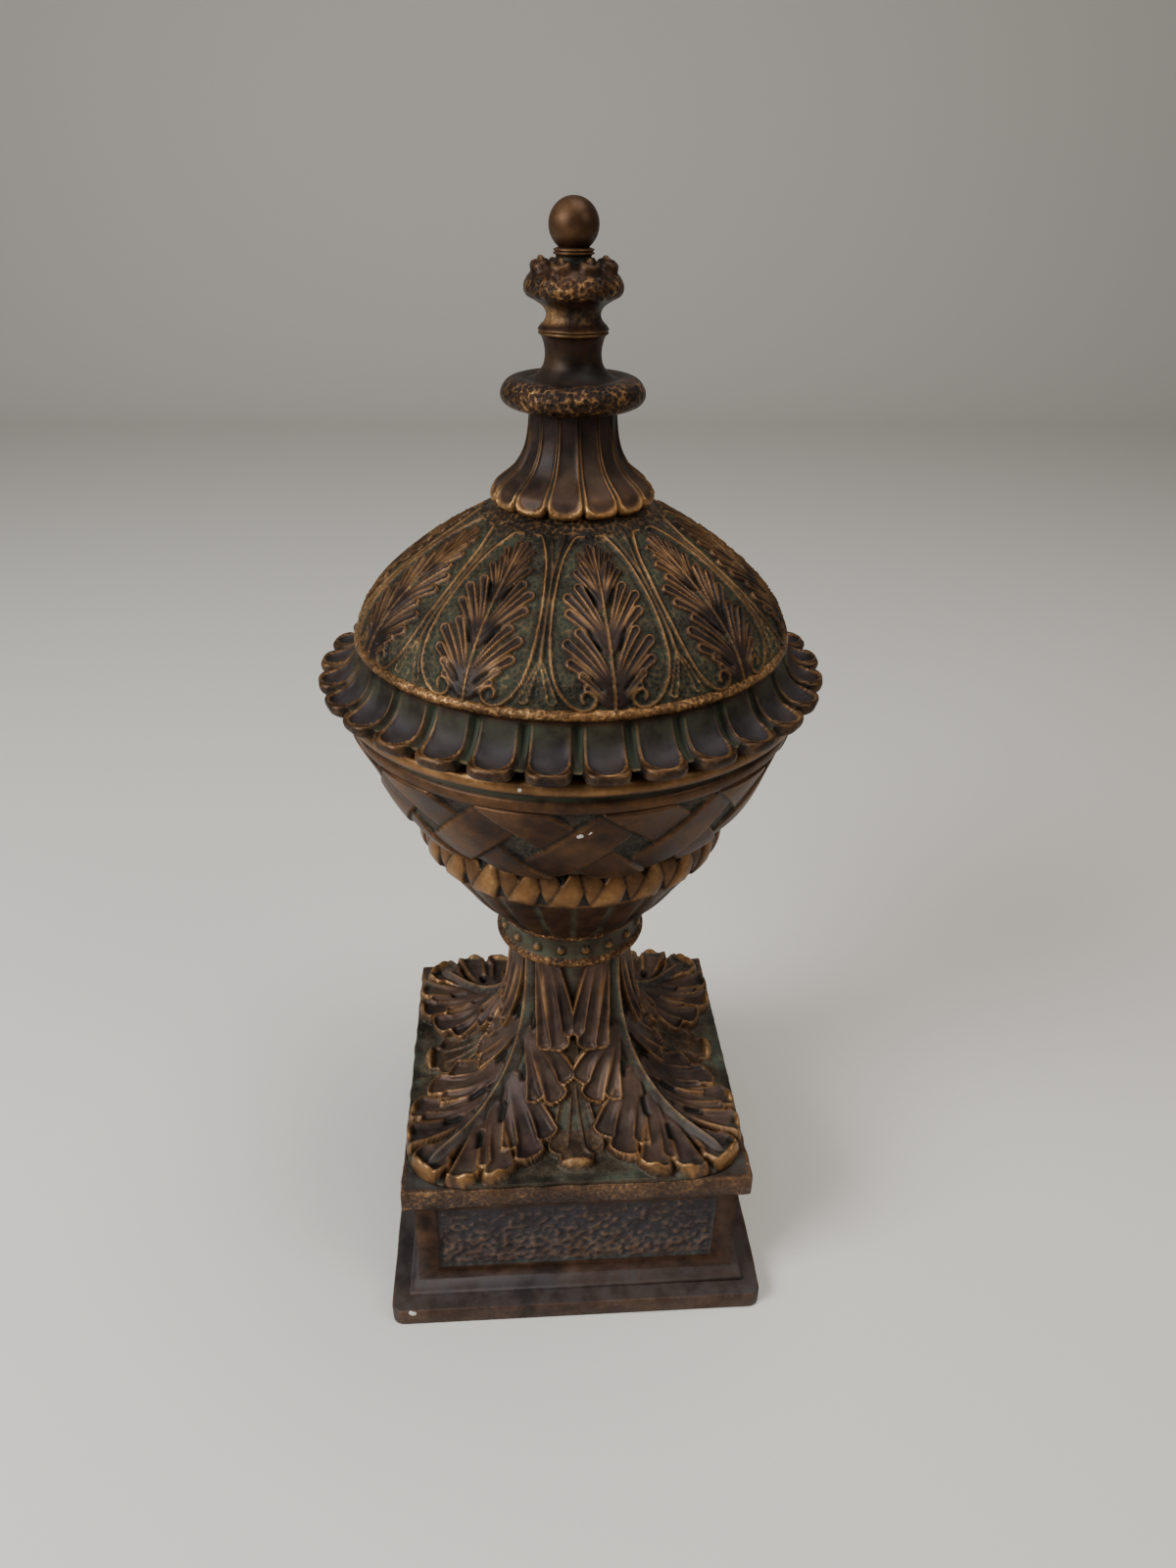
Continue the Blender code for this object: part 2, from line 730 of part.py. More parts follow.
def finial(group):
    half = disc_height / 2
    belly = [(disc_radius - half * (1.0 - math.cos(turn)), disc_z + half + half * math.sin(turn))
             for turn in (math.radians(degrees) for degrees in (75, 25, -25, -75))]
    turned_form("disc", [(0.0, stem_z)] + belly + [(0.0, disc_z)], 20, group)
    ring_low = waist_z - stem_ring_height
    wide = 1.35 * stem_radius
    outline = [(0.0, crown_z + bite), (waist_radius + bite, crown_z + bite),
               (waist_radius, (waist_z + crown_z) / 2), (stem_ring_radius, waist_z),
               (stem_ring_radius - bite, ring_low), (stem_radius, stem_z + 0.65 * stem_height),
               (wide, stem_z - bite), (0.0, stem_z - bite)]
    turned_form("stem", outline, 14, group)
    rise = crown_height
    knob_z = crown_z + 0.58 * rise
    outline = [(0.0, crown_z + rise), (0.8 * top_ring_radius, crown_z + rise),
               (0.62 * crown_radius, crown_z + 0.78 * rise), (0.92 * crown_radius, knob_z),
               (crown_radius, crown_z + 0.32 * rise), (waist_radius, crown_z), (0.0, crown_z)]

    def shape(radius, angle, z):
        if abs(z - knob_z) < 0.1 * rise:
            knob = 0.5 + 0.5 * math.cos(math.radians((angle - crown_phase) * crown_count))
            radius -= crown_knob * (1.0 - knob)
            z += 0.5 * crown_knob * knob
        return radius, angle, z
    turned_form("crown", outline, 2 * crown_count, group, shape, crown_phase)
    low, high = top_ring_z, top_ring_z + top_ring_height
    slim = 0.8 * top_ring_radius
    outline = [(0.0, high + bite), (slim, high + bite), (slim, high), (top_ring_radius, (low + high) / 2),
               (slim, low), (slim, low - bite), (0.0, low - bite)]
    turned_form("top_ring", outline, 12, group, None, 5.0)
    ball_form("ball", (0, 0, ball_z), (ball_radius,) * 3, Matrix.Identity(4), 14, 8, group)


def lid_cut(group):
    # The inside of the lid, one wall behind the dome, open below
    low = seat_z - ring_depth - bite
    ring_inner = ring_outer - lid_wall + bite
    inside = [(min(radius, ring_inner), z) for radius, z in dome_curve(4, lid_wall)]
    outline = [(0.0, inside[0][1])] + inside + [(ring_inner, seat_z), (ring_inner, low), (0.0, low)]
    turned_form("lid_cavity", outline, 24, group)


def build():
    urn = new_collection("mantel_urn")
    body_forms = new_collection("body_forms")
    body_cuts = new_collection("body_cuts")
    lid_forms = new_collection("lid_forms")
    lid_cuts = new_collection("lid_cuts")

    body = plinth(urn)
    base_slab(body_forms)
    foot_core(body_forms)
    for index in range(4):
        corner_leaf(index, body_forms)
        side_leaf(index, body_forms)
    collar(body_forms)
    bowl_core(body_forms)
    flutes(body_forms)
    braid(body_forms)
    weave(body_forms)
    panel_cuts(body_cuts)
    bowl_cut(body_cuts)
    cut_or_join(body, 'UNION', body_forms)
    cut_or_join(body, 'DIFFERENCE', body_cuts)

    lid = dome(urn)
    rim(lid_forms)
    neck(lid_forms)
    finial(lid_forms)
    lid_cut(lid_cuts)
    cut_or_join(lid, 'UNION', lid_forms)
    cut_or_join(lid, 'DIFFERENCE', lid_cuts)

    for item, colour in [(body, (0.20, 0.13, 0.08, 1.0)), (lid, (0.17, 0.13, 0.08, 1.0))]:
        item.hide_render = False
        item.display_type = 'TEXTURED'
        item.data.materials.append(bronze_paint(f"{item.name}_paint", colour, 0.43, 0.35))


clear_scene()
build()
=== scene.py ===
import math

import bmesh
import bpy
import numpy as np
from mathutils import Matrix, Vector, noise


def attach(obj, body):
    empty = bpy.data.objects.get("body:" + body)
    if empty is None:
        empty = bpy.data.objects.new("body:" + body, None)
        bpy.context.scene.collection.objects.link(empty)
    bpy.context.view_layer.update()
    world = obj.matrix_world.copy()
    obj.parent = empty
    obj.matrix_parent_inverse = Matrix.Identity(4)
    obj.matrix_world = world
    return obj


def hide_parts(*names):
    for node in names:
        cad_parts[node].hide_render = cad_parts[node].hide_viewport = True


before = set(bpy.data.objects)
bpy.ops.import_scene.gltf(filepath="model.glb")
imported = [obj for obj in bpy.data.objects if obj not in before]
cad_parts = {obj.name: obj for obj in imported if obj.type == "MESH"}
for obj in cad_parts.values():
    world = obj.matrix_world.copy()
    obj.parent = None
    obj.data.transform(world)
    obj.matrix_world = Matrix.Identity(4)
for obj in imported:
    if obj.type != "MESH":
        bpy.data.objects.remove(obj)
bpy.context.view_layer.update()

mm = 0.001  # every size below is in millimetres, heights from the table


# Lines and fields

def smoothLine(points, spacing):
    # Even points on a smooth line through the given ones
    points = np.array(points, float)
    ends = np.vstack([2 * points[0] - points[1], points, 2 * points[-1] - points[-2]])
    t = np.linspace(0, 1, 16, endpoint=False)[:, None]
    line = []
    for a, b, c, d in zip(ends, ends[1:], ends[2:], ends[3:]):
        line.append(0.5 * (2 * b + (c - a) * t + (2 * a - 5 * b + 4 * c - d) * t**2
                           + (3 * b - a - 3 * c + d) * t**3))
    line.append(points[-1:])
    return evenly(np.vstack(line), spacing)


def walksOf(line):
    # How far along a line each of its points is
    return np.concatenate([[0.0], np.cumsum(np.hypot(*np.diff(line, axis=0).T))])


def evenly(line, spacing):
    line = np.array(line, float)
    walk = walksOf(line)
    even = np.linspace(0, walk[-1], max(2, round(walk[-1] / spacing) + 1))
    return np.column_stack([np.interp(even, walk, line[:, 0]), np.interp(even, walk, line[:, 1])])


def joined(*lines):
    # One line from several that meet in a crease
    return np.vstack([lines[0]] + [line[1:] for line in lines[1:]])


def step(low, high, value):
    t = np.clip((value - low) / (high - low), 0, 1)
    return t * t * (3 - 2 * t)


def band(value, low, lowFull, highFull, high):
    # 1 between the two inner limits, falling to 0 at the outer ones
    return step(low, lowFull, value) * step(high, highFull, value)


def bump(value, width):
    return np.exp(-(value / width)**2)


def ball(value):
    # The height of a half ball whose radius is 1
    return np.sqrt(np.clip(1 - value**2, 0, 1))


def shareOf(angle, count, phase):
    # -1 to 1 across each repeat, 0 in its middle
    return ((angle - phase) * count / 360 + 0.5) % 1 * 2 - 1


def cubic(points, count):
    p0, p1, p2, p3 = (np.array(point, float) for point in points)
    t = np.linspace(0, 1, count)[:, None]
    return (1 - t)**3 * p0 + 3 * t * (1 - t)**2 * p1 + 3 * t * t * (1 - t) * p2 + t**3 * p3


def bow(start, control, end):
    t = np.linspace(0, 1, 7)[:, None]
    start, control, end = (np.array(p, float) for p in (start, control, end))
    return (1 - t)**2 * start + 2 * t * (1 - t) * control + t**2 * end


def lineDistance(x, y, line, widths=None):
    # Distance to a line, less its half width there
    best = np.full(x.shape, 1e3)
    if widths is None:
        widths = np.zeros(len(line))
    for (x0, y0), (x1, y1), w0, w1 in zip(line, line[1:], widths, widths[1:]):
        dx, dy = x1 - x0, y1 - y0
        t = np.clip(((x - x0) * dx + (y - y0) * dy) / (dx * dx + dy * dy), 0, 1)
        best = np.minimum(best, np.hypot(x - x0 - t * dx, y - y0 - t * dy) - w0 - (w1 - w0) * t)
    return best


def lobeField(x, y, leaflets, soft):
    # One lobe of leaflets that run together: how far inside it each place is (below 0), how near
    # to the line between two leaflets, and how far out from the root
    first = np.full(x.shape, 1e3)
    second = np.full(x.shape, 1e3)
    blend = np.zeros(x.shape)
    for start, control, end, half in leaflets:
        line = bow(start, control, end)
        widths = half * (0.36 + 0.7 * np.linspace(0, 1, len(line)))
        line[-1] += (line[-2] - line[-1]) / np.linalg.norm(line[-2] - line[-1]) * half
        away = lineDistance(x, y, line, widths)
        second = np.minimum(second, np.maximum(first, away))
        first = np.minimum(first, away)
        blend += np.exp(-np.clip(away, -9, 60) / soft)
    inside = -soft * np.log(blend + 1e-9)
    root = np.mean([leaflet[0] for leaflet in leaflets], axis=0)
    size = max(math.dist(root, leaflet[2]) for leaflet in leaflets)
    return inside, second - first, np.clip(np.hypot(x - root[0], y - root[1]) / size, 0, 1)


def cornered(x, y, corners):
    # How far inside a shape with straight sides each place is, below 0
    away = np.full(x.shape, -1e3)
    for (x0, y0), (x1, y1) in zip(corners, corners[1:] + corners[:1]):
        size = math.hypot(x1 - x0, y1 - y0)
        away = np.maximum(away, ((y - y0) * (x1 - x0) - (x - x0) * (y1 - y0)) / size)
    return away


def carved(x, y, lobes, form):
    # A leaf's height, its gold and how far inside it each place is: lobes with a thin raised edge
    # and cupped leaflets, each lobe's tips over the root of the next
    height = np.zeros(x.shape)
    gold = np.zeros(x.shape)
    inside = np.full(x.shape, 1e3)
    for leaflets in lobes:
        within, vein, reach = lobeField(x, y, leaflets, form["soft"])
        body = form["proud"] * (form["root"] + (1 - form["root"]) * reach)
        edge = bump(within + form["line"], form["line"])
        veins = bump(vein, form["line"]) * step(0.25, 0.6, reach)
        cup = form["cup"] * step(form["line"], form["line"] + form["reach"], -within)
        cup *= (1 - bump(vein, 2.2 * form["line"])) * step(0.1, 0.6, reach)
        lobe = body + form["edge"] * (edge + 0.5 * veins) - cup
        lobe *= step(form["wall"], -form["wall"], within)
        mine = lobe > height
        shine = np.maximum(edge * step(0.15, 0.5, reach), 0.6 * veins) * (within < form["wall"])
        gold = np.where(mine, shine, gold)
        height = np.maximum(height, lobe)
        inside = np.minimum(inside, within)
    return height, gold, inside


# Turned pieces

class Turned:
    # A surface turned from an outline of (radius, height), fine in front and plain behind, whose
    # points can be lifted and shifted before it is finished
    def __init__(self, name, front, steps, back=()):
        self.name = name
        front = np.array(front, float)
        walks = walksOf(front)
        self.length = walks[-1]
        run = np.gradient(front, axis=0)
        size = np.maximum(1e-9, np.hypot(run[:, 0], run[:, 1]))
        points = [(radius, z, walk) for (radius, z), walk in zip(front, walks)]
        points += [(radius, z, -1.0) for radius, z in back]
        if points[0][0] > 0 or points[-1][0] > 0:
            points.append(points[0])
        bm = bmesh.new()
        layer = bm.verts.layers.float.new("walk")
        bmesh.ops.create_grid(bm, x_segments=steps, y_segments=len(points) - 1, size=0.5)
        for point in bm.verts:
            radius, z, point[layer] = points[round((point.co.y + 0.5) * (len(points) - 1))]
            turn = round((point.co.x + 0.5) * steps) % steps * 2 * math.pi / steps
            point.co = (radius * math.sin(turn) * mm, -radius * math.cos(turn) * mm, z * mm)
        bmesh.ops.remove_doubles(bm, verts=bm.verts, dist=1e-6)
        bmesh.ops.recalc_face_normals(bm, faces=bm.faces)
        mesh = bpy.data.meshes.new(name)
        bm.to_mesh(mesh)
        bm.free()
        self.piece = placed(name, mesh)
        place = readPlaces(mesh)
        self.walk = np.empty(len(place))
        mesh.attributes["walk"].data.foreach_get("value", self.walk)
        self.front = self.walk >= 0
        self.angle = np.degrees(np.arctan2(place[:, 0], -place[:, 1]))
        self.radius = np.hypot(place[:, 0], place[:, 1]) / mm
        self.z = place[:, 2] / mm
        self.out = np.interp(self.walk, walks, -run[:, 1] / size)
        self.up = np.interp(self.walk, walks, run[:, 0] / size)
        self.lift = np.zeros(len(place))
        self.shift = np.zeros(len(place))
        self.place = None

    def across(self, count, phase):
        # Millimetres sideways from the middle of each repeat
        return shareOf(self.angle, count, phase) * math.pi * self.radius / count

    def finish(self, paint, body, wear=(1, 1), **marks):
        if self.place is None:
            lift = np.where(self.front, self.lift, 0)
            radius = self.radius + self.out * lift + np.where(self.front, self.shift, 0)
            turn = np.radians(self.angle)
            self.place = np.column_stack([radius * np.sin(turn), -radius * np.cos(turn),
                                          self.z + self.up * lift])
        self.piece.data.vertices.foreach_set("co", (self.place * mm).ravel())
        fromEnd = np.minimum(self.walk, self.length - self.walk)
        finishPiece(self.piece, paint, body, wear, step(0.5, 3.0, fromEnd), **marks)


def turnedRing(name, look):
    return Turned(name, smoothLine(look["outline"], look["spacing"]), look["count"] * look["columns"],
                  look["back"])


def placed(name, data):
    item = bpy.data.objects.new(name, data)
    bpy.context.scene.collection.objects.link(item)
    return item


def readPlaces(mesh):
    place = np.empty(len(mesh.vertices) * 3)
    mesh.vertices.foreach_get("co", place)
    return place.reshape(-1, 3)


marking = {
    "near": 8,  # rounds of smoothing that show a raised edge
    "far": 50,  # rounds that show a hollow
    "none": {"rough": 0, "tone": 0, "gold": 0, "green": 0, "deep": 0},
}


def finishPiece(piece, paint, body, wear=(1, 1), keep=1, **marks):
    # Marks where gold is rubbed on and the hollows, where patina gathers and where the paint lays in painted
    # shade, shades smooth and hands the piece over.
    # wear is the millimetres proud and hollow that count in full.
    mesh = piece.data
    mesh.update()
    mesh.shade_smooth()
    place = readPlaces(mesh) / mm
    normal = np.empty(len(place) * 3)
    mesh.vertices.foreach_get("normal", normal)
    normal = normal.reshape(-1, 3)
    pairs = np.empty(len(mesh.edges) * 2, int)
    mesh.edges.foreach_get("vertices", pairs)
    first, second = pairs.reshape(-1, 2).T
    number = np.bincount(first, minlength=len(place)) + np.bincount(second, minlength=len(place))

    def averaged(values):
        total = np.bincount(first, values[second], len(place))
        total += np.bincount(second, values[first], len(place))
        return (values + total) / (number + 1)

    def proud():
        return ((place - soft.T) * normal).sum(1)

    soft = place.T.copy()
    marks = dict(marking["none"], **marks)
    for turn in range(0 if "hollow" in marks else marking["far"]):
        soft = np.array([averaged(values) for values in soft])
        if turn == marking["near"] - 1:
            marks["raised"] = keep * np.clip(proud() / wear[0], 0, 1)
        if turn == marking["far"] - 1:
            marks["hollow"] = keep * np.clip(-proud() / wear[1], 0, 1)
    for name, value in marks.items():
        layer = mesh.attributes.new(name, 'FLOAT', 'POINT')
        layer.data.foreach_set("value", np.broadcast_to(np.asarray(value, float), len(place)).ravel())
    mesh.materials.append(paint)
    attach(piece, "root")
    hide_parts(body)
    "lid" if body == "lid" else "body"
    print(piece.name, len(mesh.polygons) * 2, "triangles")


# Paint

class Wire:
    # A socket that sums and products can be written with
    def __init__(self, tree, socket):
        self.tree = tree
        self.socket = socket

    def node(self, kind, settings=None, output=0, **inputs):
        item = self.tree.nodes.new(kind)
        for name, value in (settings or {}).items():
            setattr(item, name, value)
        for name, value in inputs.items():
            socket = item.inputs[int(name[1:]) if name[0] == "_" else name.replace("_", " ")]
            if isinstance(value, Wire):
                self.tree.links.new(value.socket, socket)
            else:
                socket.default_value = value
        return Wire(self.tree, item.outputs[output])

    def maths(self, operation, *values, clamp=False):
        inputs = {f"_{i}": value for i, value in enumerate(values)}
        return self.node("ShaderNodeMath", {"operation": operation, "use_clamp": clamp}, **inputs)

    def __add__(self, other): return self.maths('ADD', self, other)
    def __radd__(self, other): return self.maths('ADD', other, self)
    def __sub__(self, other): return self.maths('SUBTRACT', self, other)
    def __rsub__(self, other): return self.maths('SUBTRACT', other, self)
    def __mul__(self, other): return self.maths('MULTIPLY', self, other)
    def __rmul__(self, other): return self.maths('MULTIPLY', other, self)

    def clamped(self): return self.maths('ADD', self, 0.0, clamp=True)

    def ramp(self, low, high):
        return self.node("ShaderNodeMapRange", {"interpolation_type": 'SMOOTHSTEP'}, Value=self,
                         From_Min=low, From_Max=high)

    def blend(self, first, second):
        # Mixes two colours by this value
        return self.node("ShaderNodeMix", {"data_type": 'RGBA'}, output=2, _0=self, _6=first, _7=second)


bronze = {
    "brown": (0.072, 0.030, 0.013, 1),
    "dark": (0.014, 0.008, 0.006, 1),
    "slate": (0.030, 0.027, 0.031, 1),
    "green": (0.048, 0.056, 0.036, 1),
    "gold": (0.30, 0.145, 0.050, 1),
    "brightGold": (0.62, 0.36, 0.15, 1),
    # painted shade: near-black laid into the deepest hollows
    "hollow": (0.008, 0.007, 0.006, 1),
    "hole": (0.006, 0.006, 0.005, 1),
    # painted shade: near-black along creases, eyes, grooves and undersides
    "paintedCreaseShade": (0.005, 0.005, 0.005, 1),
    "chip": (0.55, 0.53, 0.48, 1),
    "greenAmount": 0.7,
    # strengths of the painted shade in the hollows and along the creases
    "paintedHollowShadeAmount": 0.9,
    "paintedCreaseShadeAmount": 0.85,
    "roughness": 0.46,
    "metallic": 0.45,
    "specular": 0.14,
    "cloudScale": 26,
    "patchScale": 75,
    "fleckScale": 380,
    "grainScale": 1000,
    "cellScale": 520,
    "relief": 0.0006,
    "chips": [],  # (place, size) of each bare spot
}

finishes = {
    "lid_bronze": {"brown": (0.046, 0.020, 0.010, 1), "dark": (0.008, 0.005, 0.004, 1),
                   "green": (0.030, 0.035, 0.021, 1), "gold": (0.32, 0.155, 0.055, 1)},
    "foot_bronze": {"slate": (0.060, 0.052, 0.055, 1), "brown": (0.095, 0.045, 0.025, 1),
                    "green": (0.062, 0.072, 0.052, 1), "chips": [((-0.0169, -0.0400, 0.1632), 0.0014)]},
    "plinth_bronze": {"slate": (0.046, 0.040, 0.044, 1), "brown": (0.080, 0.038, 0.020, 1),
                      "green": (0.050, 0.062, 0.050, 1), "chips": [((-0.0962, -0.1086, 0.0107), 0.0018)]},
    "body_bronze": {"chips": [((-0.0016, -0.1053, 0.3335), 0.0014), ((0.0030, -0.1058, 0.3350), 0.0010),
                              ((-0.0276, -0.1137, 0.3620), 0.0010)]},
}


def bronzePaint(name, **changes):
    look = dict(bronze, **changes)
    paint = bpy.data.materials.new(name)
    paint.use_nodes = True
    tree = paint.node_tree
    shader = tree.nodes["Principled BSDF"]
    start = Wire(tree, None)
    spot = start.node("ShaderNodeTexCoord", output="Object")
    mark = {key: start.node("ShaderNodeAttribute", {"attribute_name": key}, output="Fac")
            for key in ("raised", "hollow", "rough", "tone", "gold", "green", "deep")}

    def mottle(scale, detail=4.0):
        return start.node("ShaderNodeTexNoise", Vector=spot, Scale=look[scale], Detail=detail, Roughness=0.6)

    cloud = mottle("cloudScale").ramp(0.36, 0.66)
    patch = mottle("patchScale").ramp(0.34, 0.70)
    speckle = mottle("fleckScale", 5.0).ramp(0.44, 0.62)
    fleck = 0.5 + (speckle - 0.5) * (0.22 + 0.78 * mark["rough"])
    grain = mottle("grainScale", 3.0)
    cells = start.node("ShaderNodeTexVoronoi", {"feature": 'F1'}, Vector=spot, Scale=look["cellScale"])

    # Brown, then slate, green patina, then painted shade: black in the deepest places
    base = (patch * 0.65 + cloud * 0.35).blend(look["dark"], look["brown"])
    base = (mark["tone"] * (0.45 + 0.6 * patch)).clamped().blend(base, look["slate"])
    shade = mark["hollow"] * look["greenAmount"] * (0.15 + 0.9 * cloud)
    shade = (shade + mark["green"] * (0.25 + 1.0 * patch)).clamped()
    base = shade.blend(base, look["green"])
    deep = (mark["hollow"] - 0.4).ramp(0.0, 0.6) * look["paintedHollowShadeAmount"] * (1.25 - patch) * (1 - mark["green"])
    base = deep.clamped().blend(base, look["hollow"])
    holes = mark["rough"] * cells.ramp(0.34, 0.16) * (1.3 - patch)
    base = holes.clamped().blend(base, look["hole"])

    # Gold rubbed over the raised edges and in specks over the rough places
    peak = mark["raised"] * 0.75 + mark["gold"]
    rub = (peak * (0.55 + 0.5 * fleck) * (0.6 + 0.5 * cloud) - 0.05).clamped()
    specks = 0.06 + 0.32 * (1 - mark["green"] - mark["tone"]).clamped() + 0.6 * peak
    specks = mark["rough"] * (cells - 0.5).ramp(0.0, 0.3) * specks
    rub = (rub + specks * (0.3 + patch)).clamped()
    gold = (patch * fleck).blend(look["gold"], look["brightGold"])
    base = rub.blend(base, gold)
    # Painted shade: near-black where each piece marks creases, eyes, grooves, rings round raised parts and
    # undersides
    base = (mark["deep"] * look["paintedCreaseShadeAmount"]).blend(base, look["paintedCreaseShade"])

    bare = 0.0 * patch
    for place, size in look["chips"]:
        away = start.node("ShaderNodeVectorMath", {"operation": 'DISTANCE'}, output="Value", _0=spot,
                          _1=place)
        bare = bare + (away + (speckle - 0.5) * 0.0012).ramp(size, 0.7 * size)
    bare = bare.clamped()
    base = bare.blend(base, look["chip"])

    def wire(value, socket):
        tree.links.new(value.socket, shader.inputs[socket])

    wire(base, "Base Color")
    rough = look["roughness"] + 0.12 * mark["tone"] + 0.22 * shade - 0.08 * rub
    wire((rough + 0.18 * (grain - 0.5) + 0.12 * (patch - 0.5)).clamped(), "Roughness")
    metal = look["metallic"] + 0.4 * rub - 0.4 * shade - 0.25 * mark["tone"] - bare
    wire(metal.clamped(), "Metallic")
    shader.inputs["Specular IOR Level"].default_value = look["specular"]
    height = grain * 0.12 + fleck * 0.10 + mark["rough"] * (cells * 1.5 + speckle * 0.7)
    wire(start.node("ShaderNodeBump", Height=height, Strength=0.5, Distance=look["relief"]), "Normal")
    return paint


# The finial: ball, ring, crown of knobs, stem and disc

finial = {
    "steps": 180, "spacing": 0.9,
    "ball": 10.8, "ballZ": 569.6,
    "neck": [(6.0, 561.4), (5.8, 561.0), (7.4, 560.8), (8.9, 560.2), (8.6, 559.6), (7.9, 559.4), (8.8, 559.0),
             (8.9, 558.4), (7.8, 558.0)],
    "crown": [(7.8, 558.0), (7.6, 556.8), (8.8, 555.2), (12.6, 554.2), (17.0, 552.6), (20.6, 549.4),
              (22.0, 545.6), (20.8, 542.4), (16.8, 540.2), (13.4, 537.8), (12.0, 535.0), (12.8, 532.2),
              (14.8, 530.2), (15.2, 529.5)],
    "rings": [(15.2, 529.5), (15.7, 528.9), (15.4, 528.3), (14.8, 528.1), (15.5, 527.6), (15.5, 527.0),
              (14.6, 526.5)],
    "stem": [(14.6, 526.5), (13.6, 524.6), (12.7, 520.6), (12.7, 517.0), (13.6, 513.6), (15.8, 510.8),
             (18.6, 508.7), (21.0, 508.4), (25.5, 509.2), (30.0, 507.4), (32.7, 503.0), (31.8, 498.8),
             (27.4, 496.4), (21.0, 496.0), (19.0, 495.4)],
    "foot": 494.0,
    "knobs": 8, "knobPhase": 22, "knobR": 15.4, "knobZ": 553.6, "knob": 4.4, "knobHigh": 4.2,
    "knobsFrom": (545, 556, 9),  # heights between, radius beyond
    "eyeR": 14.2, "eye": 2.1, "eyeLine": 0.8, "eyeDeep": 2.0,
    "notch": 0.8, "notchAt": (540, 546, 549, 554),
    "hammered": [(540, 543, 549, 552, 1.0), (530, 532, 538, 541, 0.3)],
    "disc": (495, 498, 508.4, 509.4),
    "patch": (530, 532, 537, 541, 0.45),  # rubbed on one side of the waist
    "worn": [(526.6, 527.2, 529.0, 529.6, 0.2), (556.5, 557, 560.6, 561, 0.12), (541, 545, 548, 552, 0.10),
             (510, 514, 520, 526, 0.10)],
    "slate": (505, 509, 510, 516, 0.25),
}


def makeFinial(paint):
    gap = finial["spacing"]
    turns = np.radians(np.linspace(90, -55, 26))
    top = np.column_stack([finial["ball"] * np.cos(turns), finial["ballZ"] + finial["ball"] * np.sin(turns)])
    top[0, 0] = 0
    neck = np.array([tuple(top[-1])] + finial["neck"])
    front = joined(top, neck, smoothLine(finial["crown"], gap), np.array(finial["rings"]),
                   smoothLine(finial["stem"], gap))
    form = Turned("finial", front, finial["steps"], [(0, finial["foot"])])
    z, radius = form.z, form.radius
    t = shareOf(form.angle, finial["knobs"], finial["knobPhase"])
    aside = t * math.pi * finial["knobR"] / finial["knobs"]
    low, high, beyond = finial["knobsFrom"]
    onTop = (z > low) & (z < high) & (radius > beyond)
    away = np.hypot(aside / 1.1, np.hypot(radius - finial["knobR"], z - finial["knobZ"]))
    knob = finial["knobHigh"] * ball(away / finial["knob"])
    eye = np.hypot(aside, radius - finial["eyeR"])
    ring = finial["eyeDeep"] * bump(eye - finial["eye"], finial["eyeLine"]) * (knob > 0.4)
    form.lift += np.where(onTop, knob - ring, 0)
    form.lift -= finial["notch"] * np.abs(t)**4 * band(z, *finial["notchAt"])

    def worn(*zones):
        return sum(amount * band(z, *zone) for *zone, amount in zones)

    disc = band(z, *finial["disc"]) * step(20, 24, radius)
    gold = worn(finial["patch"]) * step(0, -35, form.angle) + worn(*finial["worn"])
    gold = gold + np.where(onTop, 0.3 * bump(eye, 1.4), 0) + 0.10 * disc * step(508, 504, z)
    gold = gold + 0.12 * step(560, 566, z)
    form.finish(paint, "lid", rough=worn(*finial["hammered"]) + disc, gold=gold, tone=worn(finial["slate"]),
                wear=(3.0, 1.6))


# The bell of petals

petals = {
    "count": 14, "phase": -8.1, "columns": 20, "spacing": 0.8,
    "outline": [(19.6, 496.6), (20.0, 490.0), (20.9, 483.0), (22.6, 477.0), (26.0, 471.0), (29.4, 467.6),
                (33.0, 464.8), (35.8, 462.2), (37.2, 459.2)],
    "lip": [(37.2, 459.2), (37.4, 457.2), (36.2, 455.4), (34.2, 454.2)],
    "back": [(20, 450.0), (14, 470), (14, 496.6)],
    "channel": 0.80, "channelEnd": 8.2, "channelRound": 4.0, "cup": 0.8, "cupFrom": (0, 14), "sides": 0.45,
    "roll": 1.3, "rollAt": 2.0, "rollHalf": 2.4, "gap": 1.7, "gapAt": (0.86, 1.0),
}


def makePetals(paint):
    front = joined(*(smoothLine(petals[name], petals["spacing"]) for name in ("outline", "lip")))
    form = Turned("petals", front, petals["count"] * petals["columns"], petals["back"])
    t = np.abs(shareOf(form.angle, petals["count"], petals["phase"]))
    half = math.pi * form.radius / petals["count"]
    hole = petals["channel"] * half
    end = form.length - petals["channelEnd"]
    past = np.maximum(0, form.walk - end)
    reach = np.hypot(t * half / hole, past / petals["channelRound"])
    away = (reach - 1) * np.where(past > 0, petals["channelRound"], hole)
    thick = step(end - 4, end + 3, form.walk)
    gap = step(*petals["gapAt"], t)
    form.lift -= petals["cup"] * ball(reach) * step(*petals["cupFrom"], form.walk)
    form.lift += petals["sides"] * bump(away - 0.5, 0.6)
    form.lift += petals["roll"] * thick * ball((away - petals["rollAt"]) / petals["rollHalf"]) * (1 - t**4)
    form.lift -= petals["gap"] * gap * (0.45 + 0.9 * thick)
    inside = step(0.3, -0.8, away)
    gold = 0.65 * thick * bump(away - 1.4, 1.7) + 0.12 * inside * step(10, 30, form.walk)
    gold = gold + 0.3 * bump(away - 0.4, 0.4) * step(4, 16, form.walk)
    # Painted shade in the gaps between petals and at their top under the disc
    form.finish(paint, "lid", rough=0.4 * thick * (1 - inside), tone=0.3 * inside, gold=gold,
                green=0.65 * gap, deep=0.5 * step(0.9, 1.0, t) + 0.25 * step(14, 0, form.walk),
                wear=(1.6, 1.3))


# The dome: ten panels, each framed by scrolled ribs and filled with a tall leaf

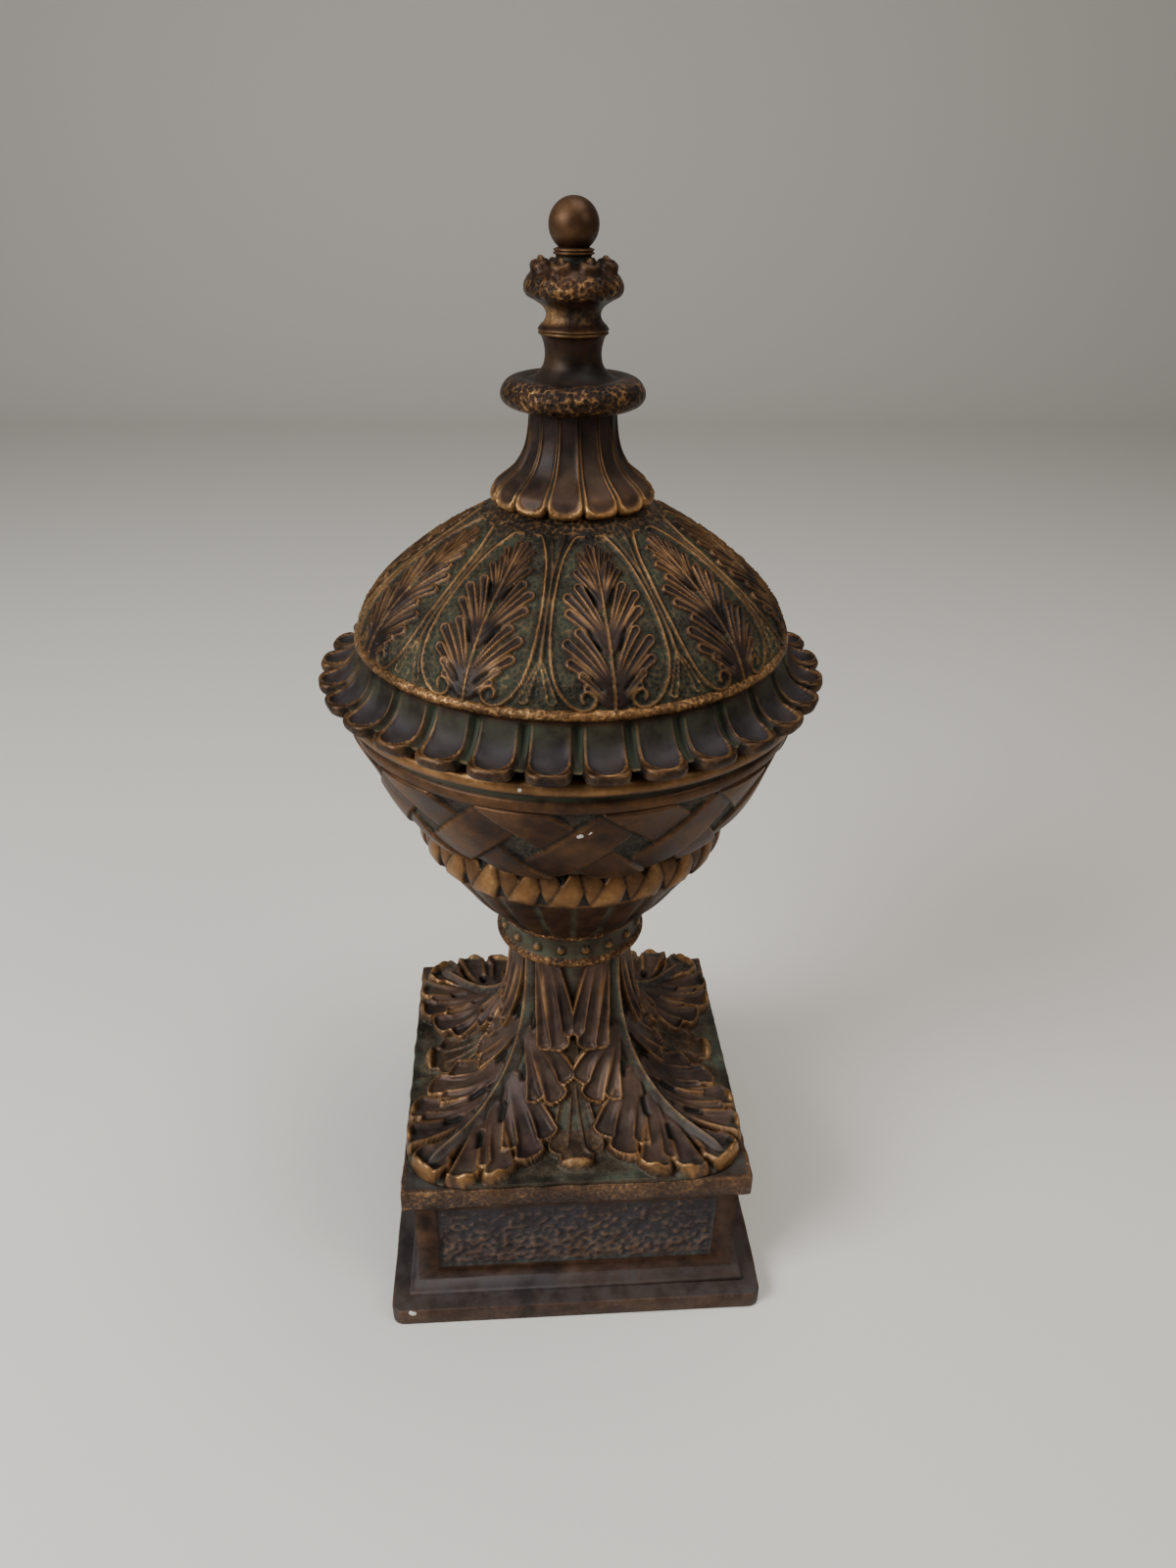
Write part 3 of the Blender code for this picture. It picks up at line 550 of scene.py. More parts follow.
dome = {
    "count": 10, "phase": 7.0, "steps": 860, "rows": 0.64, "join": 46.0,
    "overlap": 2, "dip": 0.4, "ropeHigh": 3.4,
    "curve": [(38.0, 451.5), (66.0, 436.5), (101.0, 415.0), (105.0, 392.0)],
    "top": [(30.0, 457.0), (34.0, 454.6)], "bottom": (105.2, 388.6),
    "topBack": [(44.0, 436.0), (30.0, 444.0)], "lowBack": [(98.0, 388.6), (94.0, 408.0), (78.0, 418.0)],
    "rib": [(2.6, 85.6), (6.0, 85.4), (10.2, 79.0), (14.4, 70.6), (18.0, 60.0), (21.5, 48.0), (24.0, 36.0),
            (25.4, 24.0), (24.9, 15.0), (22.8, 9.0), (19.0, 4.2), (14.6, 1.9), (10.6, 2.3), (8.1, 4.8),
            (8.1, 7.8), (10.0, 9.5), (12.6, 9.2), (14.0, 7.2), (13.3, 5.2)],
    "ribHigh": 1.3, "ribHalf": 0.7, "centreHigh": 1.2, "centreFork": 2.9, "forkAt": (62, 24),
    "centreFrom": (18, 24, 86, 88), "tulipHigh": 1.1, "midHigh": 1.9, "midEnd": (76, 66),
    "knot": (1.6, 83.0), "knotHigh": 1.1, "knotHole": 1.3, "eyeDeep": 1.5, "grooveDeep": 0.35,
    "carvedFrom": (-0.5, 1.0, 88.0, 91.5),
    "leaf": [
        [((1.5, 4), (6, 10), (14.2, 17.2), 1.9), ((2.0, 3), (6, 6), (12.2, 11.8), 1.5)],
        [((1.0, 6), (8, 15), (18.8, 22.6), 2.2), ((1.0, 9), (8, 21), (19.2, 31.2), 2.5),
         ((1.0, 13), (5, 26), (13.2, 36.6), 2.2)],
        [((0.8, 25), (8, 38), (16.4, 45.4), 2.2), ((0.8, 29), (8, 44), (15.8, 53.4), 2.4),
         ((0.6, 33), (5, 48), (10.2, 58.8), 2.2)],
        [((0.4, 47), (4, 58), (9.8, 66.4), 1.8), ((0.4, 51), (3, 62), (6.4, 71.4), 1.7)],
        [((0.2, 58), (3, 67), (6.6, 76.2), 1.6), ((0.0, 60), (0.8, 70), (1.8, 80.6), 1.6)],
    ],
    "eyes": [((4.4, 27.4), (7.6, 35.6)), ((3.4, 48.0), (5.4, 56.0)), ((5.0, 10.0), (9.0, 14.6))],
    "form": {"proud": 1.5, "root": 0.55, "wall": 0.45, "edge": 0.45, "line": 0.42, "cup": 0.75, "reach": 1.3,
             "soft": 0.5},
    "tulip": [((0.0, 22.5), (3.0, 15), (6.6, 4.0), 1.9)],
}


def makeDome(paint):
    arch = cubic(dome["curve"], 200)
    whole = evenly(np.vstack([dome["top"], arch[3:], [dome["bottom"]]]), dome["rows"])
    base = dome["rows"] * (len(whole) - 1) - dome["ropeHigh"]
    cut = round((base - dome["join"]) / dome["rows"])
    first = cut - dome["overlap"]
    makeDomePart(paint, "dome_top", whole[:cut + dome["overlap"] + 1], base, -1, dome["topBack"])
    makeDomePart(paint, "dome_low", whole[first:], base - dome["rows"] * first, 1, dome["lowBack"])


def makeDomePart(paint, name, front, base, side, back):
    # Places in a panel are x aside from its middle and y up from the rope. The parts overlap a
    # little and each dips under the other at its end.
    form = Turned(name, front, dome["steps"], back)
    x = np.abs(form.across(dome["count"], dome["phase"]))
    y = base - form.walk
    other = math.pi * form.radius / dome["count"] - x  # from the line between two panels

    rib = lineDistance(x, y, smoothLine(dome["rib"], 1.5))
    ribs = bump(rib, dome["ribHalf"])
    forkFrom, forkHigh = dome["forkAt"]
    centre = np.abs(other - dome["centreFork"] * np.clip((y - forkFrom) / forkHigh, 0, 1))
    centreRib = bump(centre, dome["ribHalf"]) * band(y, *dome["centreFrom"])
    tulipIn, _, _ = lobeField(other, y, dome["tulip"], 0.6)
    tulip = bump(tulipIn + 0.2, 0.5) * step(24, 20, y)
    leaf, shine, inside = carved(x, y, dome["leaf"], dome["form"])
    mid = bump(x, dome["ribHalf"]) * step(*dome["midEnd"], y)
    knot = np.hypot(x - dome["knot"][0], y - dome["knot"][1])
    eyes = sum(bump(lineDistance(x, y, np.array(eye)), 0.8) for eye in dome["eyes"])
    groove = bump(np.abs(rib) - 1.7, 0.8) + bump(centre - 1.6, 0.8) * step(18, 26, y)

    lift = np.maximum(leaf, dome["ribHigh"] * ribs)
    lift = np.maximum(lift, dome["centreHigh"] * centreRib)
    lift = np.maximum(lift, dome["tulipHigh"] * tulip)
    lift = np.maximum(lift, dome["midHigh"] * mid)
    lift += dome["knotHigh"] * bump(knot, 2.0) - dome["knotHole"] * bump(knot, 0.8)
    lift -= dome["eyeDeep"] * eyes + dome["grooveDeep"] * groove
    form.lift += lift * band(y, *dome["carvedFrom"])
    form.lift -= dome["dip"] * step(0.8, 1.2, side * (y - dome["join"]))

    inLeaf = step(0.2, -0.6, inside)
    gold = np.maximum(0.8 * bump(rib, 0.5), 0.5 * centreRib * step(84, 64, y))
    gold = np.maximum(gold, 0.55 * bump(tulipIn + 0.3, 0.4))
    gold = np.maximum(gold, 0.55 * bump(x, 0.5) * step(78, 70, y))
    gold = np.maximum(gold, 0.62 * shine * (1 - 0.6 * step(56, 72, y))) + 0.03 * inLeaf
    # Painted shade: black in the eyes, along the grooves, round the leaf edges and inside the cupped leaflets
    deep = np.clip(eyes + 0.5 * groove * (1 - ribs) + 0.45 * bump(inside - 1.0, 0.7), 0, 1) * step(-1, 1, y)
    deep = np.maximum(deep, 0.4 * inLeaf * (1 - shine) * step(1.2, 0.4, np.abs(leaf - 0.9)))
    # Hollows: green patina, and in their deepest parts painted black shade
    hollow = 1.1 * eyes + 0.55 * groove + 0.5 * bump(inside - 1.2, 1.0) + 0.25 * step(0, 2, inside)
    hollow = np.clip(hollow, 0, 1) * (1 - ribs) * (1 - 0.8 * mid)
    ground = step(0.2, 1.2, inside) * (1 - ribs) * (1 - centreRib)
    form.finish(paint, "lid", rough=0.8 * ground, tone=0.35 * inLeaf * step(70, 40, y),
                gold=gold * step(-1, 2, y), green=0.75 * ground * step(90, 80, y), hollow=hollow, raised=0,
                deep=deep * (1 - mid))


# The rim: a rope, then thirty cupped lobes with a thin lip and a thick round edge

rim = {
    "count": 30, "phase": 4.3, "columns": 24, "spacing": 0.9,
    "rope": [(103.6, 394.4), (105.8, 393.4), (106.9, 391.5), (106.2, 389.6), (105.4, 388.8)],
    "flare": [(105.4, 388.8), (107.0, 384.4), (110.8, 379.0), (115.8, 375.4), (121.0, 374.0), (124.6, 374.0)],
    "edge": [(124.6, 374.0), (125.5, 373.0), (125.6, 371.2), (124.6, 368.8), (121.6, 367.2), (117.0, 366.9),
             (110.0, 366.9)],
    "back": [(106.2, 366.9), (106.2, 360.9), (101.4, 360.9), (100.6, 376.0), (98.6, 394.0)],
    "cup": 3.0, "ridge": 0.4, "hole": 0.71, "holeEnd": 11.0, "holeRound": 10.4,
    "gap": 3.0, "gapAt": (0.75, 0.88), "scallop": 7.0, "scallopAt": (0.25, 0.56),
}


def makeRim(paint):
    gap = rim["spacing"]
    rope = smoothLine(rim["rope"], gap)
    flare = smoothLine(rim["flare"], gap)
    front = joined(rope, flare, smoothLine(rim["edge"], gap))
    form = Turned("rim", front, rim["count"] * rim["columns"], rim["back"])
    ropeEnd = walksOf(rope)[-1]
    lip = ropeEnd + walksOf(flare)[-1]
    t = np.abs(shareOf(form.angle, rim["count"], rim["phase"]))
    half = math.pi * form.radius / rim["count"]
    down = form.walk - ropeEnd
    onLobe = step(0.5, 3.0, down)
    hole = rim["hole"] * half
    past = np.maximum(0, form.walk - (lip - rim["holeEnd"]))
    reach = np.hypot(t * half / hole, past / rim["holeRound"])
    away = (reach - 1) * np.where(past > 0, rim["holeRound"], hole)
    form.lift -= rim["cup"] * ball(reach) * step(2, 16, down)
    form.lift += rim["ridge"] * bump(away - 0.4, 0.6) * onLobe
    valley = step(*rim["gapAt"], t) * onLobe
    form.lift -= rim["gap"] * valley * step(form.length - 2, form.length - 8, form.walk)
    bendFrom, bendWide = rim["scallopAt"]
    bend = np.clip((t - bendFrom) / bendWide, 0, 1)
    outward = np.clip(down / (lip - ropeEnd), 0, 1)
    form.shift -= rim["scallop"] * (1 - np.sqrt(1 - 0.98 * bend**2)) * outward**2
    onRope = step(ropeEnd, ropeEnd - 1.5, form.walk)
    under = step(lip + 0.8, lip + 2, form.walk)
    cup = step(0.6, -0.8, away) * onLobe
    gold = 0.42 * onRope + 0.75 * bump(away - 0.3, 0.45) * step(17, 21, down) * (1 - valley)
    gold = gold + 0.06 * (1 - cup) * (1 - valley) * step(0, 3, down)
    green = valley * step(lip + 6, lip, form.walk) + 0.9 * step(17, 3, down) * onLobe * (1 - 0.2 * cup)
    # Painted shade on the lobe edges beside each gap and on the underside of the rim; green patina low on the
    # lobes and in the gaps
    form.finish(paint, "lid", rough=0.8 * onRope + 0.25 * under,
                tone=0.85 * cup * step(2, 14, down) + 0.3 * under, gold=gold, green=green,
                deep=0.45 * bump(t - 0.80, 0.05) * onLobe + 0.35 * under, wear=(3.0, 6.0))


# The bowl's mouth, and the inside of the bowl behind everything below it

mouth = {
    "steps": 240, "spacing": 0.9,
    "inside": [(0, 242.6), (35.7, 242.6), (49.6, 249.6), (66.6, 274.0), (71.0, 296.5), (88.4, 321.0),
               (98.9, 344.0), (107.0, 358.0), (107.0, 366.3)],
    "roll": [(107.0, 366.3), (112.5, 366.4), (116.0, 365.0), (117.2, 362.0), (116.2, 359.0), (113.2, 357.2)],
    "groove": [(113.2, 357.2), (110.6, 356.4), (110.2, 354.8), (111.0, 354.0)],
    "hoop": [(111.0, 354.0), (112.4, 352.6), (112.3, 349.6), (111.4, 347.4), (109.4, 346.4)],
    "back": [(104.0, 345.0), (94.0, 322.0), (76.0, 297.0), (72.0, 275.0), (54.0, 248.0), (0, 239.0)],
    "rollGoldAndHighlight": ((111, 114), (359, 361)), "hoopGold": ((111.5, 112.2), (354, 352)),  # radius, height
    "grooveAt": (353.2, 354.6, 356.8, 358), "grooveIn": (112.6, 112),
}


def makeMouth(paint):
    gap = mouth["spacing"]
    outside = joined(*(smoothLine(mouth[name], gap) for name in ("roll", "groove", "hoop")))
    front = joined(evenly(mouth["inside"][:-1], 6.0), evenly(mouth["inside"][-2:], 4.0), outside)
    form = Turned("mouth", front, mouth["steps"], mouth["back"])

    def zone(name):
        return step(*mouth[name][0], form.radius) * step(*mouth[name][1], form.z)

    groove = band(form.z, *mouth["grooveAt"]) * step(*mouth["grooveIn"], form.radius)
    # Gold on the roll's upper outer face: the roll's own gold, made brighter as a painted highlight; green
    # patina in the groove
    form.finish(paint, "urn_body", gold=0.62 * zone("rollGoldAndHighlight") + 0.14 * zone("hoopGold"),
                green=0.9 * groove, wear=(5.0, 2.5))


# The woven straps

weave = {
    "count": 12, "phase": -1.7, "columns": 54, "spacing": 0.84, "opening": 0.38,
    "unit": 36.0,  # between two lines of one direction
    "top": 346.6, "low": 296.6, "over": 2.6, "under": 0.5, "crown": 0.35, "sink": 0.9,
    "outline": [(109.6, 347.6), (107.8, 343.0), (104.0, 334.5), (100.2, 325.0), (96.3, 316.0), (92.4, 308.5),
                (86.8, 301.0), (81.6, 296.2), (79.4, 294.6)],
    "back": [(74.0, 296.0), (88.0, 320.0), (102.0, 347.6)],
}


def makeWeave(paint):
    form = turnedRing("weave", weave)
    u = (form.angle - weave["phase"]) * weave["count"] / 360
    v = (weave["top"] - form.z) / (weave["top"] - weave["low"])
    middleHeight = (weave["over"] + weave["under"]) / 2
    swing = (weave["over"] - weave["under"]) / 2

    def strap(across, along, side):
        # Height of one strap, which goes over at one crossing and under at the next
        edge = (np.abs(across - np.round(across)) - weave["opening"] / 2) * weave["unit"]
        middle = np.floor(across) + 0.5
        height = middleHeight + side * swing * np.cos(math.pi * (along - middle))
        crown = weave["crown"] * np.cos(math.pi * (across - middle))
        return np.where(edge > 0, (height + crown) * step(0, 0.9, edge), 0), edge, height

    down, downEdge, downHeight = strap(u - v, u + v, 1)
    up, upEdge, upHeight = strap(u + v, u - v, -1)
    straps = np.maximum(down, up)
    onWeave = step(weave["low"] - 1, weave["low"] + 0.6, form.z)
    form.lift += straps * onWeave - weave["sink"] * (1 - onWeave)
    opening = (downEdge < 0.2) & (upEdge < 0.2)
    edge = np.where(down > up, downEdge, upEdge)
    # Painted shade where a strap dives under the one crossing it and in the openings
    paintedCreaseShade = bump(np.where(downHeight > upHeight, downEdge, upEdge) + 0.6, 0.8)
    # Gold along the strap edges and a little everywhere, with a painted highlight on the crests of the straps
    gold = 0.2 * bump(edge - 0.8, 0.4) * onWeave + 0.05 + 0.14 * np.clip(straps - 2.0, 0, 1)
    form.finish(paint, "urn_body", rough=opening, gold=gold * ~opening, tone=0.5 * opening,
                green=0.45 * opening * onWeave, deep=0.8 * paintedCreaseShade * onWeave + 0.25 * opening, wear=(6.0, 1.6))


# The braided band

braid = {
    "count": 24, "phase": 1.1, "columns": 28, "spacing": 0.8, "top": 294.6, "low": 274.6,
    "outline": [(74.5, 296.0), (77.0, 294.8), (79.0, 291.0), (80.0, 285.0), (79.6, 280.0), (78.0, 275.6),
                (75.6, 273.4)],
    "back": [(70.0, 273.4), (68.0, 284.0), (70.0, 296.0)],
    "overFold": [(0.72, 0.0), (0.20, 0.94), (0.86, 0.96), (1.01, 0.48), (0.89, 0.0)],
    "underFold": [(-0.11, 0.0), (0.20, 0.94), (0.52, 0.38), (0.32, 0.0)],
    "over": (2.0, 1.3, 2.5), "under": (1.3, 0.8, 3.0),  # height at the edge, swell, width of the swell
    "radius": 80, "grow": 0.7, "sill": 1.6, "sillFrom": (19.0, 20.2), "sink": 0.6,
}


def makeBraid(paint):
    form = turnedRing("braid", braid)
    high = braid["top"] - braid["low"]
    wide = 2 * math.pi * braid["radius"] / braid["count"]
    x = (form.angle - braid["phase"]) * braid["count"] / 360 % 1.0
    y = braid["top"] - form.z

    def fold(shape, height, swell, soft):
        # A fold's distance and its height; each reaches into the repeats beside its own
        corners = [(u * wide, v * high) for u, v in shape]
        away = np.min([cornered((x + turn) * wide, y, corners) for turn in (-1, 0, 1)], axis=0)
        away -= braid["grow"]
        return away, (height + swell * (1 - np.exp(away / soft))) * step(0.35, -0.35, away)

    over, upper = fold(braid["overFold"], *braid["over"])
    under, lower = fold(braid["underFold"], *braid["under"])
    folds = np.maximum(np.maximum(upper, lower), braid["sill"] * step(*braid["sillFrom"], y))
    form.lift += folds - braid["sink"]
    # Gold on the folds, brightest in the middle of each over fold as a painted highlight
    overGoldAndHighlight = 0.5 * step(0.2, -1.2, over) + 0.25 * step(-1.5, -4.0, over)
    underGold = 0.28 * step(0.2, -0.8, under) * (lower > 0.5)
    gold = np.where(upper > lower, overGoldAndHighlight, underGold) + 0.35 * step(19.2, 20.4, y)
    # Painted shade round the edges of the folds and in the holes between them
    paintedCreaseShade = np.maximum(bump(over - 0.3, 0.5), bump(under - 0.3, 0.5) * (over > 0)) * step(19.6, 18.8, y)
    hole = step(0.8, 0.2, folds) * step(20.6, 19.6, y)
    form.finish(paint, "urn_body", gold=gold, tone=0.9 * hole, green=0.2 * hole,
                deep=0.8 * paintedCreaseShade + 0.3 * hole, wear=(6.0, 6.0))


# The flutes of the lower bowl

flutes = {
    "count": 24, "phase": 5.9, "columns": 14, "spacing": 1.1,
    "outline": [(77.6, 275.0), (74.6, 269.4), (70.8, 263.6), (65.6, 256.0), (60.6, 248.4), (55.6, 242.0),
                (50.6, 236.4), (46.6, 231.6), (43.6, 228.8)],
    "back": [(34.0, 228.8), (44.0, 250.0), (66.0, 275.0)],
    "round": 1.1, "roundness": 0.9, "crease": 1.0,
}


def makeFlutes(paint):
    form = turnedRing("flutes", flutes)
    t = np.abs(shareOf(form.angle, flutes["count"], flutes["phase"]))
    x = (1 - t) * math.pi * form.radius / flutes["count"]
    form.lift -= flutes["round"] * (1 - np.sqrt(1 - flutes["roundness"] * t**2))
    form.lift -= flutes["crease"] * bump(x, 1.0)
    form.finish(paint, "urn_body", green=0.95 * bump(x, 1.3), gold=0.04, wear=(7.0, 3.0))


# The collar: two ropes and a row of beads

collar = {
    "count": 18, "phase": 9.5, "columns": 20, "spacing": 0.75,
    "beadZ": 216.8, "bead": 2.7, "beadHigh": 2.3, "ropesFrom": [(223.5, 225), (213, 211)],
    "outline": [(43.0, 230.4), (41.8, 228.9), (42.4, 227.4), (42.0, 225.6), (40.0, 224.2), (39.2, 222.0),
                (39.0, 218.2), (39.4, 213.8), (40.4, 211.6), (42.0, 210.0), (42.2, 208.4), (41.0, 206.8),
                (38.0, 206.2)],
    "back": [(28.0, 206.2), (28.0, 230.4)],
}


def makeCollar(paint):
    form = turnedRing("collar", collar)
    away = np.hypot(form.across(collar["count"], collar["phase"]), form.z - collar["beadZ"])
    form.lift += collar["beadHigh"] * ball(away / collar["bead"])
    ropes = sum(step(*heights, form.z) for heights in collar["ropesFrom"])
    # Painted shade in a ring round each bead
    form.finish(paint, "urn_body", rough=0.9 * ropes, gold=0.16 * ropes + 0.6 * bump(away, 1.8),
                green=0.65 * (1 - ropes) * (1 - bump(away, 2.2)), deep=0.6 * bump(away - 3.0, 0.6),
                wear=(3.0, 2.0))


# The foot, round at the neck and square below, with a large leaf down each corner and a small one
# in the middle of each side. Places on a leaf are (down its midrib, aside from it).

foot = {
    "columns": 744, "rows": 1.36, "limit": 97.2,  # nothing reaches further than the limit
    "fall": [(32.0, 208.0), (32.0, 152.0), (46.0, 101.5), (124.0, 101.5)], "back": [(124.0, 98.0), (0, 98.0)],
    "leaf": [
        [((132, 0), (148, 1), (163, 3), 9.0)],
        [((118, 4), (142, 14), (163, 25), 7.6)],
        [((104, 5), (130, 22), (158, 43), 7.8), ((106, 4), (126, 12), (150, 30), 4.6)],
        [((84, 6), (102, 29), (126, 50), 6.4), ((86, 5), (112, 26), (144, 51.5), 7.6),
         ((90, 4), (112, 16), (134, 33.5), 5.0)],
        [((54, 6), (66, 25), (86, 38.5), 6.4), ((56, 5), (76, 20), (99, 39.5), 6.4),
         ((60, 4), (80, 13.5), (99, 26), 5.0)],
        [((-8, 13), (30, 20), (54, 28.0), 5.6), ((-8, 8.5), (38, 14.5), (64, 26), 5.8),
         ((4, 5), (44, 8.5), (64, 18), 4.6)],
    ],
    "eyes": [((46, 6.4), (52, 7.6)), ((77, 7.6), (84, 10.8)), ((103, 8.6), (112, 13.0)),
             ((124, 8.6), (133, 14.0))],
    "rolls": [((156, 41), 6.2), ((160, 25.5), 5.6), ((162, 3), 7.6)],
    "form": {"proud": 5.4, "root": 0.35, "wall": 0.9, "edge": 0.6, "line": 0.65, "cup": 2.8, "reach": 3.2,
             "soft": 1.1},
    "rise": 3.6, "riseFrom": (110, 158), "eyeHalf": 1.5, "eyeDeep": 4.0,
    "midrib": 4.6, "midribHalf": 5.0, "midribEnd": (164, 148), "crest": 0.9, "crestEnd": (158, 140),
    "rollHigh": 3.4, "rollShare": 0.95, "rollLong": 0.55,
    "side": [[((60, 0), (96, 2), (138, 10), 7.4), ((70, 0), (110, 1), (149, 2.5), 7.4)]],
    "sideForm": {"proud": 3.0, "cup": 1.3},
    "sideRoll": 145, "sideRollHalf": 10.5, "sideRollHigh": 6.5, "sideRollLong": 0.62,
}


def makeFoot(paint):
    fall = cubic(foot["fall"], 400)
    form = Turned("foot", evenly(fall, foot["rows"]), foot["columns"], foot["back"])

    # Round above, squarer the further down
    share = np.interp(np.maximum(form.walk, 0), walksOf(fall), np.linspace(0, 1, len(fall)))
    share = np.where(form.front, share, 1.0)
    swing = (form.angle % 90) - 45  # from the corner's diagonal
    power = 2 + 4 * share**2

    def square(turn):
        turn = np.radians(turn)
        return (np.abs(np.cos(turn))**power + np.abs(np.sin(turn))**power)**(-1 / power)

    widen = square(45 + swing) / square(np.full(swing.shape, 45.0))

    along = form.walk
    aside = np.abs(np.radians(swing)) * form.radius
    leaf, shine, inside = carved(along, aside, foot["leaf"], foot["form"])
    rise = foot["rise"] * step(*foot["riseFrom"], along)
    leaf += rise * step(1, -2.5, inside)
    midrib = np.clip(1 - aside / foot["midribHalf"], 0, 1) * step(*foot["midribEnd"], along)
    leaf = np.maximum(leaf * (1 - 0.6 * midrib), (rise + foot["midrib"]) * midrib**0.8)
    crest = bump(aside, 0.8) * step(*foot["crestEnd"], along)
    leaf += foot["crest"] * crest
    roll = np.zeros(len(along))
    for (x, y), size in foot["rolls"]:
        away = np.hypot((along - x) / foot["rollLong"], aside - y) / size
        roll = np.maximum(roll, (foot["rollHigh"] + foot["rollShare"] * size) * ball(away))
    leaf = np.maximum(leaf, roll)
    eyes = sum(bump(lineDistance(along, aside, np.array(eye)), foot["eyeHalf"]) for eye in foot["eyes"])
    eyes = eyes * (1 - midrib)
    leaf -= foot["eyeDeep"] * eyes

    middle = np.radians(45 - np.abs(swing)) * form.radius * widen
    small, smallShine, _ = carved(along, middle, foot["side"], dict(foot["form"], **foot["sideForm"]))
    x = foot["sideRoll"]
    away = np.hypot((along - x) / foot["sideRollLong"], middle) / foot["sideRollHalf"]
    smallRoll = foot["sideRollHigh"] * ball(away) * step(x - 4, x, along)
    small = np.maximum(small, smallRoll) * step(-1, 1, inside)
    form.lift = np.maximum(leaf, small) * step(form.length, form.length - 2, along) * step(-1, 3, along)

    turn = np.radians(form.angle)
    lift = np.where(form.front, form.lift, 0)
    reach = form.radius * np.where(form.radius > 1, widen, 1) + form.out * lift
    flat = np.column_stack([reach * np.sin(turn), -reach * np.cos(turn)])
    over = np.abs(flat).max(1)
    flat *= np.where(over > foot["limit"], foot["limit"] / np.maximum(over, 1), 1)[:, None]
    form.place = np.column_stack([flat, form.z + form.up * lift])

    onSmall = small > leaf
    inLeaf = step(0.5, -1.0, inside)
    ground = step(0, 2, inside)
    rolled = step(2.5, 6.0, roll) + step(2.0, 5.0, smallRoll) * onSmall
    gold = np.maximum(0.7 * shine, 0.6 * rolled) + 0.10 * inLeaf
    gold = np.maximum(np.where(onSmall, np.maximum(gold, 0.25 * smallShine), gold), 0.65 * crest)
    gold = gold * (1 - np.clip(1.5 * eyes, 0, 1)) * form.front
    # Painted shadow round the leaf edges, and painted shade in the eyes
    paintedCreaseShade = 0.4 * bump(inside - 1.0, 1.0) * (small < leaf + 1) * form.front
    form.finish(paint, "urn_body", rough=0.3 * ground, tone=0.4 * inLeaf * (1 - rolled) + 0.8 * midrib,
                gold=gold, green=0.5 * ground * (small < 1) + 0.3 * midrib + 0.2 * onSmall,
                deep=np.clip(1.8 * eyes, 0, 1) + paintedCreaseShade, wear=(9.0, 4.5))


# The plinth: slab, die with hammered panels, cornice

plinth = {
    "slab": 108.6, "slabHigh": 11.9, "slabCorner": 7.0, "slabEdge": 1.6, "slabCuts": 60,
    "slabDents": (0.5, 0.05),  # height, and how many to a millimetre
    "outline": [(98.5, 9.9), (98.5, 13.6), (97.7, 14.4), (96.9, 14.6), (94.2, 17.1), (93.1, 18.3),
                (92.6, 19.3), (91.7, 87.5)],
    "die": 92.6, "dieTop": 91.7, "dieLow": 19.3, "dieHigh": 85.5,
    "stile": 11.0, "rail": 8.0, "topRail": 12.4, "recess": 2.0, "panelEdge": 1.6,
    "acrossCuts": 113, "upCuts": 36, "panelDents": (1.5, 0.30),
    "cornice": 98.0, "top": 99.0, "corniceEdge": 1.2, "corniceCuts": 70, "corniceDents": (0.9, 0.13),
}


def roughen(bm, points, height, scale):
    # Small dents in the chosen points, along their normals
    bm.normal_update()
    for point in points:
        point.co += point.normal * height * mm * noise.noise(point.co / mm * scale)


def blockOf(half, low, high):
    bm = bmesh.new()
    size = Matrix.Diagonal((2 * half * mm, 2 * half * mm, (high - low) * mm, 1))
    bmesh.ops.create_cube(bm, size=1, matrix=Matrix.Translation((0, 0, (low + high) / 2 * mm)) @ size)
    return bm


def rounded(bm, edges, size, segments):
    bmesh.ops.bevel(bm, geom=edges, offset=size * mm, segments=segments, profile=0.5, material=-1,
                    affect='EDGES')


def cutLong(bm, cuts):
    long = [edge for edge in bm.edges if edge.calc_length() > 40 * mm]
    bmesh.ops.subdivide_edges(bm, edges=long, cuts=cuts, use_grid_fill=True)


def climb(edge):
    return abs(edge.verts[0].co.z - edge.verts[1].co.z) / mm


def reachOf(point):
    return max(abs(point.co.x), abs(point.co.y)) / mm


def makeSlab(paint):
    bm = blockOf(plinth["slab"], 0, plinth["slabHigh"])
    rounded(bm, [edge for edge in bm.edges if climb(edge) > 5], plinth["slabCorner"], 6)
    rounded(bm, [edge for edge in bm.edges if climb(edge) < 1], plinth["slabEdge"], 3)
    cutLong(bm, plinth["slabCuts"])
    roughen(bm, [point for point in bm.verts if point.co.z > mm], *plinth["slabDents"])
    piece = pieceOf("base_slab", bm)
    spot = readPlaces(piece.data) / mm
    rim = step(106, 108.2, np.abs(spot[:, :2]).max(1))
    finishPiece(piece, paint, "urn_body", rough=0.15 * rim, gold=0.14 * rim, tone=0.9 - 0.4 * rim,
                green=0.3 * (1 - rim), raised=0, hollow=0)


